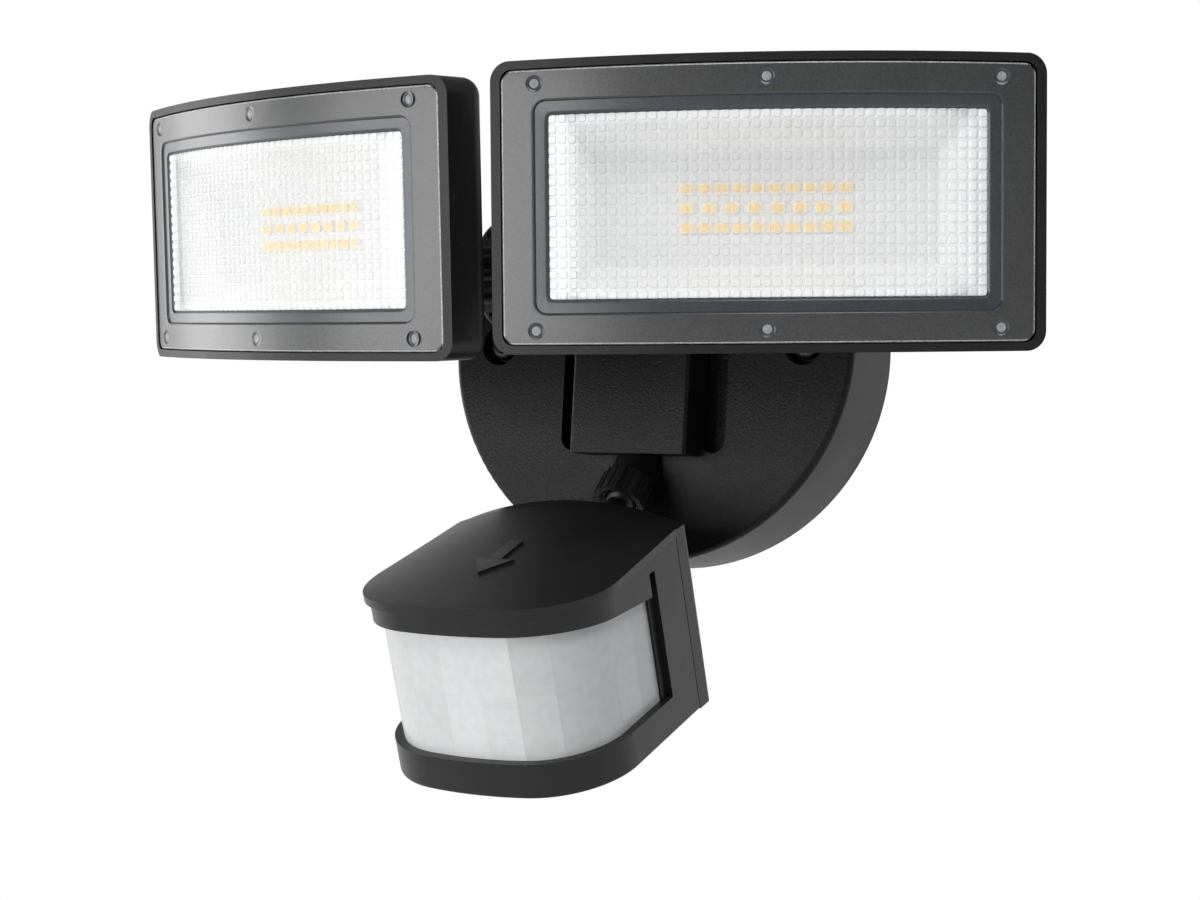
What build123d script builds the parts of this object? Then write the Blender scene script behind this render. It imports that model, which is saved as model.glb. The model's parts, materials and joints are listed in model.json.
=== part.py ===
"""Motion sensor security light: round wall canopy, two LED flood heads and a sensor on a ball joint.

Frame: origin at the middle of the canopy's back, on the wall plane. +Z is up, +X is to the right
of someone facing the light, and -Y points away from the wall. Lengths are in millimetres.
"""
import math
import os

from build123d import *

# ---------------------------------------------------------------- driving dimensions
RUN_CLEAR = 0.05            # radial clearance of a turning fit
SEAT_GAP = 0.3              # gap between pieces of different bodies
CLOSE_GAP = 0.1             # gap between pieces that are screwed together
SEAM_GAP = 0.35             # seam left open round the sensor's back cover

# canopy
CANOPY_R = 70.0             # radius at the wall
CANOPY_FRONT_R = 69.4       # radius at the front edge
CANOPY_DEPTH = 34.9         # wall to the front face
CANOPY_WALL = 2.8
CANOPY_EDGE = 2.0           # rounding of the front edge
GASKET_T = 2.0
GASKET_W = 9.0
GASKET_INSET = 0.4

# boss on the canopy face, with the pockets beside it
BOSS_HALF_W = 20.0
BOSS_PROUD = 11.0
BOSS_BOTTOM = -35.3
BOSS_TOP = 44.0
BOSS_EDGE = 1.2
POCKET_W = 8.6
POCKET_DEPTH = 6.0
POCKET_BOTTOM = -34.0
POCKET_TOP = 40.0
POCKET_WALL = 1.6

# canopy screws and crossbar
SCREW_SPACING = 106.0       # between the two canopy screws
SCREW_R = 2.1
SCREW_HEAD_R = 4.4
SCREW_HEAD_H = 3.4
SCREW_SLOT_W = 1.0
SCREW_SLOT_L = 4.84
RECESS_R = 6.4
RECESS_DEPTH = 6.0
RECESS_WALL = 2.0
BAR_T = 1.8
BAR_W = 22.0
BAR_LENGTH = 116.0
BAR_TAP_R = 2.2
BOX_SPACING = 88.9          # electrical box screw spacing
BOX_SLOT_L = 12.0
BOX_SLOT_R = 2.4
NIPPLE_R = 5.1
SEAL_T = 1.2
SEAL_MARGIN = 0.4          # screw seal's edge past the screw's head
GROUND_R = 1.9
GROUND_X = 15.4             # ground screw, beside the middle hole
GROUND_HEAD_R = 4.2
GROUND_HEAD_H = 2.4
GROUND_TAIL = 1.0

# driver inside the canopy
DRIVER_L = 78.0
DRIVER_H = 34.0
DRIVER_D = 17.0
DRIVER_Z = -26.0
DRIVER_TAB = 7.0
DRIVER_TAB_T = 2.0
DRIVER_CORNER = 3.0
DRIVER_EDGE = 2.0
DRIVER_TAB_HOLE_R = 1.6
DRIVER_SCREW_L = 4.0
DRIVER_HEAD_R = 2.8
DRIVER_HEAD_H = 1.8
POST_R = 3.4

# hub and head arms
HUB_Y = -70.3
HUB_Z = 17.5
HUB_R = 15.0
HUB_HALF_L = 20.0
HUB_NECK_R = 13.0
HUB_NECK_L = 9.0
HUB_SOCKET_R = 10.0
HUB_SOCKET_L = 17.0
WIREWAY_R = 5.0
RING_R = 16.4
RING_LOBES = 14
RING_LOBE_R = 2.0
RING_LIP = 2.6
RING_EDGE = 1.6
FLANGE_T = 1.6
FLANGE_R = 12.7
ARM_SEAL_T = 1.2
RING_EYE_R = 9.2
ARM_R = 8.6
ARM_TIP_R = 5.8
ARM_BEND_R = 7.9
ARM_BEND_X = 0.455          # shares of the way from ring to pivot at which the arm bends
ARM_BEND_Y = 0.167
ARM_BEND_Z = 0.467
ARM_STRAIGHT = 13.5         # straight run into the eye
ARM_SINK = 5.0              # where that run ends, inside the eye
PIVOT_INSET = 8.35          # pan pivot inside half a head's width, measured from the hub
PIVOT_AHEAD = 27.5
PIVOT_RISE = 15.0
EYE_R = 10.0
EYE_H = 12.0
PIVOT_PIN_R = 3.0
PIVOT_HEAD_R = 5.0
PIVOT_HEAD_H = 3.4
PIVOT_EDGE = 0.8

# flood heads
HEAD_W = 146.0
HEAD_H = 77.4
HEAD_FRONT_R = 209.5        # radius of the bowed front, about an upright axis
HEAD_DEPTH = 28.0           # front middle to the flat back
HEAD_DRAFT = 0.8            # how much narrower each side is at the back
HEAD_CORNER = 5.3
HEAD_BACK_EDGE = 5.0
HEAD_RIM_X = 2.65
HEAD_RIM_Z = 2.25
HEAD_FLOOR = 23.0           # front middle to the cavity's floor
EAR_ROOT = 25.0             # front middle to where the ears start, inside the back wall
COVER_GAP = 0.3
COVER_SET = 0.4             # cover surface below the rim
COVER_T = 2.2
COVER_CORNER = 3.2
BORDER_X = 15.35            # head's edge to the clear window
BORDER_Z = 14.1
WINDOW_SET = 1.4            # window surface below the cover's border
STEP_W = 3.4
STEP_CORNER = 2.7
WINDOW_CORNER = 1.7
SEAL_RING_T = 1.0
SEAL_RING_W = 2.2
SEAL_RING_CORNER = 1.5
BEZEL_T = 1.6
LEDGE_W = 4.5
PIN_R = 1.1
PIN_INSET_X = 12.1          # pins inside the head's edge
PIN_INSET_Z = 6.2
TRAY_T = 1.2
TRAY_SLOPE_X = 11.65        # tray floor inside the window's edge
TRAY_SLOPE_Z = 9.6
BOARD_T = 1.6
BOARD_INSET_X = 2.65        # LED board inside the window's edge
BOARD_INSET_Z = 4.6
BOARD_SCREW_IN_X = 3.2      # its screws inside the board's edge
BOARD_SCREW_IN_Z = 5.0
BOARD_SCREW_R = 1.5
BOARD_SCREW_L = 3.0         # hold in the housing
BOARD_HEAD_R = 2.4
BOARD_HEAD_H = 1.6
LED_W = 2.8
LED_L = 3.5
LED_T = 0.8
LED_PITCH_X = 5.35
LED_PITCH_Z = 5.4
LED_ROWS = (10, 8, 10)
FIN_T = 1.8
FIN_PITCH = 6.0
FIN_DEEP = 7.0
FIN_END = 9.7               # fins inside the head's edge
FIN_COUNT = 6               # on each side of the knuckle
FIN_START = 21.0            # first fin, from the head's middle
EAR_T = 5.0
EAR_R = 9.5
KNUCKLE_BACK = 43.0         # front middle to the pan pivot

# poses in which the light stands at rest
RIGHT_PAN = 22.3
LEFT_PAN = 19.5
RIGHT_TILT = 7.6
LEFT_TILT = 8.9
SENSOR_PAN = -4.6
SENSOR_TILT = 22.2

# sensor ball joint on the canopy
BALL_Y = -46.0
BALL_Z = -48.5
BALL_R = 6.4
BALL_AXIS = 45.0            # how far the joint's axis points below level
NUT_R = 8.7
NUT_BORE_R = 7.45
NUT_AHEAD = 5.6             # nut face, past the ball's middle
NUT_BEHIND = 4.6
NUT_LOBES = 18
NUT_LOBE_R = 0.6
NUT_FLARE = 1.4             # flare of the nut's eye
NUT_EYE_R = 5.6
SEAT_FRONT = 3.5            # front face of the ball's seat, past the ball's middle
STEM_R = 3.5
STEM_BORE_R = 1.8

# sensor
SENSOR_HALF_W = 39.5
SENSOR_BACK_HALF_W = 37.6
SENSOR_DEPTH = 68.5
SENSOR_FRONT_R = 111.0
SENSOR_CORNER_R = 27.3
SENSOR_HEIGHT = 56.7        # hood's front edge to the underside
HOOD_RISE = 5.55            # hood's middle line, back above front
HOOD_CROWN_BACK = 6.5
HOOD_CROWN_FRONT = 2.6
HOOD_EDGE_T = 2.4
BODY_INSET = 1.5            # lip and tray stand this far inside the hood's edge
BACK_INSET = 0.3            # share of that inset at the seam
LIP_H = 8.65
LENS_H = 37.7
LIP_DROP = 7.8              # how much lower the lip is at the seam than in front
SIDE_WALL_D = 15.0          # depth of the plain wall behind the lens
SENSOR_WALL = 2.6
LENS_T = 1.3
SENSOR_POST_R = 3.6
SENSOR_SCREW_R = 1.4
POST_SINK = 1.0             # how far a post runs into the wall that carries it
TRAY_EDGE = 0.8
GROOVE_W = 3.2
GROOVE_D = 1.8
GROOVE_TOP = -7.5
BACK_COVER_D = 7.7
STEM_Y = 35.8               # ball middle in the sensor's frame
STEM_Z = -3.0
STEM_ROOT_Z = -13.0
STEM_BOSS_R = 8.0
STEM_BOSS_L = 5.0
KNOB_R = 4.0
KNOB_PITCH = 14.5
KNOB_Y = -24.0
KNOB_H = 5.0
KNOB_PROUD = 0.8
KNOB_SLOT_W = 1.2
KNOB_SLOT_D = 1.2
KNOB_SLOT_L = 6.0
CONTROL_BOARD_W = 46.0
CONTROL_BOARD_D = 13.0
POT_SIDE = 9.0
POT_H = 4.0
SENSOR_BOARD_W = 54.0
SENSOR_BOARD_H = 38.0
DETECTOR_R = 4.1
DETECTOR_H = 4.2
DETECTOR_BRIM = 0.5
DETECTOR_WINDOW_W = 4.1
DETECTOR_WINDOW_H = 3.3
DETECTOR_WINDOW_D = 0.4
STEM_NUT_R = 6.4
STEM_NUT_T = 4.0
STEM_COLLAR_R = 5.4
STEM_COLLAR_T = 2.0
STEM_INNER_L = 7.0          # stem boss behind the cover's outer face
STEM_PAST = 1.0             # stem's end past its nut
COLLAR_EDGE = 0.5
LENS_TUCK = 1.5             # how far the lens reaches behind its window's edge
RETAINER_T = 1.4
RETAINER_START = 5.0        # retainer's ends ahead of the window's back edge
BACK_EDGE_R = 2.4
COVER_TOP_EXTRA = 0.8       # how much thicker the back cover is along its crowned top
COVER_SCREW_X = 31.6
COVER_SCREW_TOP = -9.0
COVER_SCREW_LOW = -48.5
COVER_SCREW_HEAD_R = 2.7
COVER_SCREW_HEAD_H = 1.8
COVER_SCREW_L = 12.0
COVER_SCREW_SINK = 1.0      # head below the cover's face
COVER_SLOT_W = 0.7
COVER_SLOT_L = 3.24
SENSOR_BOARD_Y = -8.0
SENSOR_BOARD_Z = -27.0
BOARD_POST_X = 22.0
BOARD_POST_Z = 12.0
SHAFT_R = 1.5
SHAFT_L = 2.0
STAKE_R = 1.8
STAKE_PIN_R = 0.9

os.makedirs("parts", exist_ok=True)


def write(name, part, frame=Plane.XY):
    """Put a finished piece into its frame and save it under its own name."""
    placed = part.moved(frame.location)
    placed.label = name
    export_step(placed, f"parts/{name}.step")
    return placed


def bow(x, radius):
    """Depth of a bowed surface of this radius at a distance x from its middle."""
    return radius - math.sqrt(radius * radius - x * x)


# ---------------------------------------------------------------- frames
HUB = Plane(origin=(0, HUB_Y, HUB_Z))
PIVOT_X = HEAD_W / 2 - PIVOT_INSET


def arm_frame(tilt):
    """Frame at the hub, tipped forward about the hub's own axis."""
    return Plane(HUB.location * Location((0, 0, 0), (tilt, 0, 0)))


def head_frame(side, tilt, pan):
    """Frame at the front middle of a head that its arm carries. side is 1 right, -1 left."""
    pivot = Location((side * PIVOT_X, -PIVOT_AHEAD, PIVOT_RISE), (0, 0, side * pan))
    return Plane(arm_frame(tilt).location * pivot * Location((0, -KNUCKLE_BACK, 0)))


RIGHT_ARM = arm_frame(RIGHT_TILT)
LEFT_ARM = arm_frame(LEFT_TILT)
RIGHT_HEAD = head_frame(1, RIGHT_TILT, RIGHT_PAN)
LEFT_HEAD = head_frame(-1, LEFT_TILT, LEFT_PAN)
BALL = Location((0, BALL_Y, BALL_Z))
SENSOR = Plane(
    BALL * Location((0, 0, 0), (0, 0, SENSOR_PAN)) * Location((0, 0, 0), (SENSOR_TILT, 0, 0))
    * Location((0, -STEM_Y, -STEM_Z))
)
# the ball joint's own frame: local +Z runs out of the canopy, down and forward
JOINT = Plane(
    origin=(0, BALL_Y, BALL_Z),
    x_dir=(1, 0, 0),
    z_dir=(0, -math.cos(math.radians(BALL_AXIS)), -math.sin(math.radians(BALL_AXIS))),
)

# ---------------------------------------------------------------- canopy
FACE_Y = -CANOPY_DEPTH
SCREW_X = SCREW_SPACING / 2
SEAT_Y = FACE_Y + RECESS_DEPTH
NECK_R = NUT_BORE_R - RUN_CLEAR
STUB_L = (FACE_Y - BALL_Y) / math.cos(math.radians(BALL_AXIS)) + NECK_R
DRIVER_Y = FACE_Y + POCKET_DEPTH + POCKET_WALL + SEAT_GAP
POST_X = DRIVER_L / 2 + DRIVER_TAB / 2

with BuildPart() as canopy:
    with BuildSketch(Plane.XY):
        with BuildLine():
            Polyline(
                (0, FACE_Y),
                (CANOPY_FRONT_R, FACE_Y),
                (CANOPY_R, -GASKET_T),
                (CANOPY_R - CANOPY_WALL, -GASKET_T),
                (CANOPY_FRONT_R - CANOPY_WALL, FACE_Y + CANOPY_WALL),
                (0, FACE_Y + CANOPY_WALL),
                close=True,
            )
        make_face()
    revolve(axis=Axis.Y)
    fillet(canopy.edges().filter_by(GeomType.CIRCLE).group_by(Axis.Y)[0], CANOPY_EDGE)
    # walls of the side pockets, of the screw recesses and of the boss
    with BuildSketch(Plane.XZ.offset(-FACE_Y)):
        for side in (1, -1):
            with Locations((side * (BOSS_HALF_W + POCKET_W / 2), (POCKET_TOP + POCKET_BOTTOM) / 2)):
                RectangleRounded(
                    POCKET_W + 2 * POCKET_WALL,
                    POCKET_TOP - POCKET_BOTTOM + 2 * POCKET_WALL,
                    POCKET_W / 2,
                )
    extrude(amount=-(POCKET_DEPTH + POCKET_WALL))
    with BuildSketch(Plane.XZ.offset(-FACE_Y)):
        with Locations((SCREW_X, 0), (-SCREW_X, 0)):
            Circle(RECESS_R + RECESS_WALL)
    extrude(amount=-(RECESS_DEPTH + RECESS_WALL))
    with BuildSketch(Plane.XZ.offset(-FACE_Y)):
        with Locations((0, (BOSS_TOP + BOSS_BOTTOM) / 2)):
            Rectangle(2 * BOSS_HALF_W, BOSS_TOP - BOSS_BOTTOM)
    extrude(amount=BOSS_PROUD)
    fillet(
        canopy.edges()
        .filter_by(Axis.Z)
        .filter_by_position(Axis.Y, FACE_Y - BOSS_PROUD - SEAT_GAP, FACE_Y - SEAT_GAP),
        BOSS_EDGE,
    )
    # neck and hub that carry the two arms
    with BuildSketch(Plane.YZ):
        with Locations((HUB_Y, HUB_Z)):
            Circle(HUB_R)
        with Locations(((HUB_Y + FACE_Y) / 2, HUB_Z)):
            Rectangle(FACE_Y - HUB_Y, 2 * HUB_R)
    extrude(amount=HUB_HALF_L, both=True)
    with BuildSketch(Plane.YZ):
        with Locations((HUB_Y, HUB_Z)):
            Circle(HUB_NECK_R)
    extrude(amount=HUB_HALF_L + HUB_NECK_L, both=True)
    # sensor boss: a stub that leans forward and down, with the ball's cup at its end
    with BuildSketch(JOINT):
        Circle(NECK_R)
    extrude(amount=-STUB_L)
    # posts for the driver
    with BuildSketch(Plane.XZ.offset(-DRIVER_Y + CLOSE_GAP)):
        with Locations((POST_X, DRIVER_Z), (-POST_X, DRIVER_Z)):
            Circle(POST_R)
    extrude(until=Until.NEXT)
    # pockets beside the boss
    with BuildSketch(Plane.XZ.offset(-FACE_Y)):
        for side in (1, -1):
            with Locations((side * (BOSS_HALF_W + POCKET_W / 2), (POCKET_TOP + POCKET_BOTTOM) / 2)):
                RectangleRounded(POCKET_W, POCKET_TOP - POCKET_BOTTOM, POCKET_W / 2 - CLOSE_GAP)
    extrude(amount=-POCKET_DEPTH, mode=Mode.SUBTRACT)
    with BuildSketch(Plane.XZ.offset(-FACE_Y)):
        with Locations((SCREW_X, 0), (-SCREW_X, 0)):
            Circle(RECESS_R)
    extrude(amount=-RECESS_DEPTH, mode=Mode.SUBTRACT)
    with BuildSketch(Plane.XZ.offset(-SEAT_Y)):
        with Locations((SCREW_X, 0), (-SCREW_X, 0)):
            Circle(SCREW_R + SEAT_GAP)
    extrude(amount=-RECESS_DEPTH, mode=Mode.SUBTRACT)
    with BuildSketch(Plane.XZ.offset(-DRIVER_Y)):
        with Locations((POST_X, DRIVER_Z), (-POST_X, DRIVER_Z)):
            Circle(DRIVER_TAB_HOLE_R)
    extrude(amount=DRIVER_SCREW_L, mode=Mode.SUBTRACT)
    # hollow of the boss, sockets for the arms and ways for the wires
    with BuildSketch(Plane.XZ.offset(-FACE_Y - CANOPY_WALL)):
        with Locations((0, (BOSS_TOP + BOSS_BOTTOM) / 2)):
            Rectangle(2 * (BOSS_HALF_W - CANOPY_WALL), BOSS_TOP - BOSS_BOTTOM - 2 * CANOPY_WALL)
    extrude(amount=BOSS_PROUD, mode=Mode.SUBTRACT)
    for side in (1, -1):
        with BuildSketch(Plane.YZ.offset(side * (HUB_HALF_L + HUB_NECK_L))):
            with Locations((HUB_Y, HUB_Z)):
                Circle(HUB_SOCKET_R)
        extrude(amount=-side * HUB_SOCKET_L, mode=Mode.SUBTRACT)
    with BuildSketch(Plane.YZ):
        with Locations((HUB_Y, HUB_Z)):
            Circle(WIREWAY_R)
    extrude(amount=HUB_HALF_L, both=True, mode=Mode.SUBTRACT)
    with BuildSketch(Plane.XZ.offset(-HUB_Y)):
        with Locations((0, HUB_Z)):
            Circle(WIREWAY_R)
    extrude(amount=HUB_Y - FACE_Y, mode=Mode.SUBTRACT)
    # the stub's root is cut flush inside the canopy
    with BuildSketch(Plane.XZ.offset(-FACE_Y - CANOPY_WALL)):
        with Locations((0, BALL_Z + STUB_L / 2)):
            Rectangle(2 * NECK_R + SEAT_GAP, 2 * STUB_L)
    extrude(amount=-STUB_L, mode=Mode.SUBTRACT)
    # the ball's half of the cup, and the way for its wires
    with Locations(JOINT.location):
        Sphere(BALL_R + RUN_CLEAR, mode=Mode.SUBTRACT)
    with BuildSketch(JOINT):
        Circle(STEM_BORE_R)
    extrude(amount=-STUB_L - NECK_R, mode=Mode.SUBTRACT)
write("canopy_housing", canopy.part)

with BuildPart() as gasket:
    with BuildSketch(Plane.XZ):
        Circle(CANOPY_R - GASKET_INSET)
        Circle(CANOPY_R - GASKET_INSET - GASKET_W, mode=Mode.SUBTRACT)
    extrude(amount=GASKET_T)
write("canopy_gasket", gasket.part)

with BuildPart() as crossbar:
    with BuildSketch(Plane.XZ):
        SlotOverall(BAR_LENGTH, BAR_W)
        with Locations((SCREW_X, 0), (-SCREW_X, 0)):
            Circle(BAR_TAP_R, mode=Mode.SUBTRACT)
        with Locations((BOX_SPACING / 2, 0), (-BOX_SPACING / 2, 0)):
            SlotOverall(BOX_SLOT_L, 2 * BOX_SLOT_R, mode=Mode.SUBTRACT)
        Circle(NIPPLE_R, mode=Mode.SUBTRACT)
        with Locations((GROUND_X, 0)):
            Circle(GROUND_R, mode=Mode.SUBTRACT)
    extrude(amount=BAR_T)
write("mounting_crossbar", crossbar.part)

with BuildPart() as canopy_screws:
    with Locations(Plane.XZ.offset(-SEAT_Y + SEAL_T)):
        with Locations((SCREW_X, 0), (-SCREW_X, 0)):
            Cylinder(SCREW_HEAD_R, SCREW_HEAD_H, align=(Align.CENTER, Align.CENTER, Align.MIN))
    fillet(canopy_screws.edges().filter_by(GeomType.CIRCLE).group_by(Axis.Y)[0], SCREW_HEAD_H * 0.55)
    with BuildSketch(Plane.XZ.offset(-SEAT_Y + SEAL_T)):
        with Locations((SCREW_X, 0), (-SCREW_X, 0)):
            Circle(SCREW_R)
    extrude(amount=SEAT_Y - SEAL_T + CLOSE_GAP)
    with BuildSketch(Plane.XZ.offset(-SEAT_Y + SEAL_T + SCREW_HEAD_H)):
        with Locations((SCREW_X, 0), (-SCREW_X, 0)):
            Rectangle(SCREW_SLOT_L, SCREW_SLOT_W)
            Rectangle(SCREW_SLOT_W, SCREW_SLOT_L)
    extrude(amount=-SCREW_HEAD_H / 2, mode=Mode.SUBTRACT)
write("canopy_screws", canopy_screws.part)

with BuildPart() as screw_seals:
    with BuildSketch(Plane.XZ.offset(-SEAT_Y)):
        with Locations((SCREW_X, 0), (-SCREW_X, 0)):
            Circle(SCREW_HEAD_R + SEAL_MARGIN)
            Circle(SCREW_R + CLOSE_GAP, mode=Mode.SUBTRACT)
    extrude(amount=SEAL_T)
write("canopy_screw_seals", screw_seals.part)

with BuildPart() as ground_screw:
    with BuildSketch(Plane.XZ.offset(BAR_T)):
        with Locations((GROUND_X, 0)):
            RegularPolygon(GROUND_HEAD_R, 6)
    extrude(amount=GROUND_HEAD_H)
    with BuildSketch(Plane.XZ):
        with Locations((GROUND_X, 0)):
            Circle(GROUND_R - RUN_CLEAR)
    extrude(amount=BAR_T + GROUND_TAIL)
write("ground_screw", ground_screw.part)

with BuildPart() as driver:
    with BuildSketch(Plane.XZ.offset(-DRIVER_Y)):
        with Locations((0, DRIVER_Z)):
            RectangleRounded(DRIVER_L, DRIVER_H, DRIVER_CORNER)
    extrude(amount=-DRIVER_D)
    fillet(driver.faces().sort_by(Axis.Y)[-1].edges(), DRIVER_EDGE)
    with BuildSketch(Plane.XZ.offset(-DRIVER_Y)):
        with Locations((0, DRIVER_Z)):
            SlotOverall(DRIVER_L + 2 * DRIVER_TAB, 2 * DRIVER_TAB)
        with Locations((POST_X, DRIVER_Z), (-POST_X, DRIVER_Z)):
            Circle(DRIVER_TAB_HOLE_R, mode=Mode.SUBTRACT)
    extrude(amount=-DRIVER_TAB_T)
write("driver", driver.part)

with BuildPart() as driver_screws:
    with Locations(Plane.XZ.offset(-DRIVER_Y - DRIVER_TAB_T)):
        with Locations((POST_X, DRIVER_Z), (-POST_X, DRIVER_Z)):
            Cylinder(DRIVER_HEAD_R, DRIVER_HEAD_H, align=(Align.CENTER, Align.CENTER, Align.MAX))
            Cylinder(
                DRIVER_TAB_HOLE_R - RUN_CLEAR,
                DRIVER_TAB_T + DRIVER_SCREW_L - CLOSE_GAP,
                align=(Align.CENTER, Align.CENTER, Align.MIN),
            )
write("driver_screws", driver_screws.part)


# ---------------------------------------------------------------- head arms
def lobed(radius, lobe_r, count):
    """Outline of a hand nut: a disc with rounded lobes round its edge."""
    Circle(radius)
    with PolarLocations(radius - lobe_r * 0.35, count):
        Circle(lobe_r)


NECK_END = HUB_HALF_L + HUB_NECK_L
FLANGE_X = NECK_END + SEAT_GAP + ARM_SEAL_T
RING_X = HUB_HALF_L + SEAT_GAP
LIP_X = FLANGE_X + FLANGE_T + SEAT_GAP
PIVOT = Vector(PIVOT_X, -PIVOT_AHEAD, PIVOT_RISE)
ARM_ENTRY = Vector(0.45, -0.89, 0)  # level direction in which the arm meets its eye
RING_END = LIP_X + RING_LIP
BEND = Vector(
    RING_END + (PIVOT_X - RING_END) * ARM_BEND_X,
    -PIVOT_AHEAD * ARM_BEND_Y,
    PIVOT_RISE * ARM_BEND_Z,
)


def lock_ring(side):
    """Ring that is turned by hand to clamp an arm's flange on the hub. side is 1 right, -1 left."""
    with BuildPart() as ring:
        with BuildSketch(Plane.YZ.offset(RING_X)):
            lobed(RING_R, RING_LOBE_R, RING_LOBES)
            Circle(HUB_NECK_R + RUN_CLEAR, mode=Mode.SUBTRACT)
        extrude(amount=LIP_X - RING_X)
        with BuildSketch(Plane.YZ.offset(LIP_X)):
            Circle(RING_R)
            Circle(RING_EYE_R, mode=Mode.SUBTRACT)
        extrude(amount=RING_LIP)
        front_edges = ring.edges().filter_by(GeomType.CIRCLE).group_by(Axis.X)[-1]
        fillet(front_edges.sort_by(SortBy.RADIUS)[-1], RING_EDGE)
    return ring.part if side > 0 else mirror(ring.part, about=Plane.YZ)


def head_arm(side):
    """Arm from its socket in the hub, through a bend, to the upright eye of the pan pivot."""
    with BuildPart() as arm:
        with BuildSketch(Plane.YZ.offset(NECK_END - HUB_SOCKET_L + SEAT_GAP)):
            Circle(HUB_SOCKET_R - RUN_CLEAR)
        extrude(amount=FLANGE_X - NECK_END + HUB_SOCKET_L - SEAT_GAP)
        with BuildSketch(Plane.YZ.offset(FLANGE_X)):
            Circle(FLANGE_R)
        extrude(amount=FLANGE_T)
        # bend, drawn through round sections
        with BuildSketch(Plane.YZ.offset(FLANGE_X)):
            Circle(ARM_R)
        with BuildSketch(Plane.YZ.offset(RING_END)):
            Circle(ARM_R)
        loft()
        with BuildSketch(Plane.YZ.offset(RING_END)):
            Circle(ARM_R)
        with BuildSketch(Plane(origin=BEND, x_dir=(0, 1, 0.2), z_dir=(0.75, -0.40, 0.52))):
            Circle(ARM_BEND_R)
        for back in (ARM_STRAIGHT, ARM_SINK):
            with BuildSketch(Plane(PIVOT - ARM_ENTRY * back, x_dir=(0.89, 0.45, 0), z_dir=ARM_ENTRY)):
                Circle(ARM_TIP_R)
        loft()
        with BuildSketch(Plane.XY.offset(PIVOT_RISE - EYE_H / 2)):
            with Locations((PIVOT_X, -PIVOT_AHEAD)):
                Circle(EYE_R)
        extrude(amount=EYE_H)
        with BuildSketch(Plane.XY.offset(PIVOT_RISE - EYE_H / 2)):
            with Locations((PIVOT_X, -PIVOT_AHEAD)):
                Circle(PIVOT_PIN_R + RUN_CLEAR)
        extrude(amount=EYE_H, mode=Mode.SUBTRACT)
        with BuildSketch(Plane.YZ.offset(NECK_END - HUB_SOCKET_L)):
            Circle(WIREWAY_R)
        extrude(amount=HUB_SOCKET_L + ARM_R, mode=Mode.SUBTRACT)
    return arm.part if side > 0 else mirror(arm.part, about=Plane.YZ)


def arm_seal(side):
    """Washer between an arm's flange and the hub's neck."""
    with BuildPart() as seal:
        with BuildSketch(Plane.YZ.offset(NECK_END + SEAT_GAP)):
            Circle(FLANGE_R)
            Circle(HUB_SOCKET_R + CLOSE_GAP, mode=Mode.SUBTRACT)
        extrude(amount=ARM_SEAL_T)
    return seal.part if side > 0 else mirror(seal.part, about=Plane.YZ)


# ---------------------------------------------------------------- flood heads
AHEAD = HEAD_DEPTH / 2      # cuts into the front start this far ahead of it


def bowed_slab(width, height, corner, front, back):
    """Plate that follows the head's bowed front, from one depth below it to another."""
    half = width / 2 + SEAT_GAP
    near = bow(half, HEAD_FRONT_R - front) + front
    far = bow(half, HEAD_FRONT_R - back) + back
    with BuildPart() as slab:
        with BuildSketch(Plane.XY.offset(-height)):
            with BuildLine():
                ThreePointArc((-half, near), (0, front), (half, near))
                Line((half, near), (half, far))
                ThreePointArc((half, far), (0, back), (-half, far))
                Line((-half, far), (-half, near))
            make_face()
        extrude(amount=2 * height)
        with BuildSketch(Plane.XZ.offset(HEAD_DEPTH)):
            if corner:
                RectangleRounded(width, height, corner)
            else:
                Rectangle(width, height)
        extrude(amount=-3 * HEAD_DEPTH, mode=Mode.INTERSECT)
    return slab.part


WINDOW_W = HEAD_W - 2 * BORDER_X
WINDOW_H = HEAD_H - 2 * BORDER_Z
COVER_W = HEAD_W - 2 * (HEAD_RIM_X + COVER_GAP)
COVER_H = HEAD_H - 2 * (HEAD_RIM_Z + COVER_GAP)
SEAL_FRONT = COVER_SET + COVER_T + CLOSE_GAP
BEZEL_FRONT = SEAL_FRONT + SEAL_RING_T + CLOSE_GAP
LEDGE = BEZEL_FRONT + BEZEL_T + CLOSE_GAP
PANE_W = WINDOW_W + 2 * STEP_W
PANE_H = WINDOW_H + 2 * STEP_W
PANE_BACK = COVER_SET + WINDOW_SET + COVER_T
PANE_MARGIN = 0.8
PANE_OUTER_W = PANE_W + 2 * PANE_MARGIN
PANE_OUTER_H = PANE_H + 2 * PANE_MARGIN
BEZEL_W = PANE_OUTER_W + 2 * COVER_GAP
BEZEL_H = PANE_OUTER_H + 2 * COVER_GAP
BOARD_FRONT = HEAD_FLOOR - BOARD_T - CLOSE_GAP
BOARD_W = WINDOW_W - 2 * BOARD_INSET_X
BOARD_H = WINDOW_H - 2 * BOARD_INSET_Z
BOARD_SCREW_X = BOARD_W / 2 - BOARD_SCREW_IN_X
BOARD_SCREW_Z = BOARD_H / 2 - BOARD_SCREW_IN_Z
TRAY_FLOOR_W = WINDOW_W - 2 * TRAY_SLOPE_X
TRAY_FLOOR_H = WINDOW_H - 2 * TRAY_SLOPE_Z
TRAY_MOUTH_W = PANE_W - STEP_W
TRAY_MOUTH_H = PANE_H - STEP_W
PIN_X = HEAD_W / 2 - PIN_INSET_X
PIN_Z = HEAD_H / 2 - PIN_INSET_Z
PIN_PLACES = [(x, z) for x in (-PIN_X, 0, PIN_X) for z in (-PIN_Z, PIN_Z)]
BOARD_SCREWS_AT = [
    (x, z) for x in (-BOARD_SCREW_X, BOARD_SCREW_X) for z in (-BOARD_SCREW_Z, BOARD_SCREW_Z)
]

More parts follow.
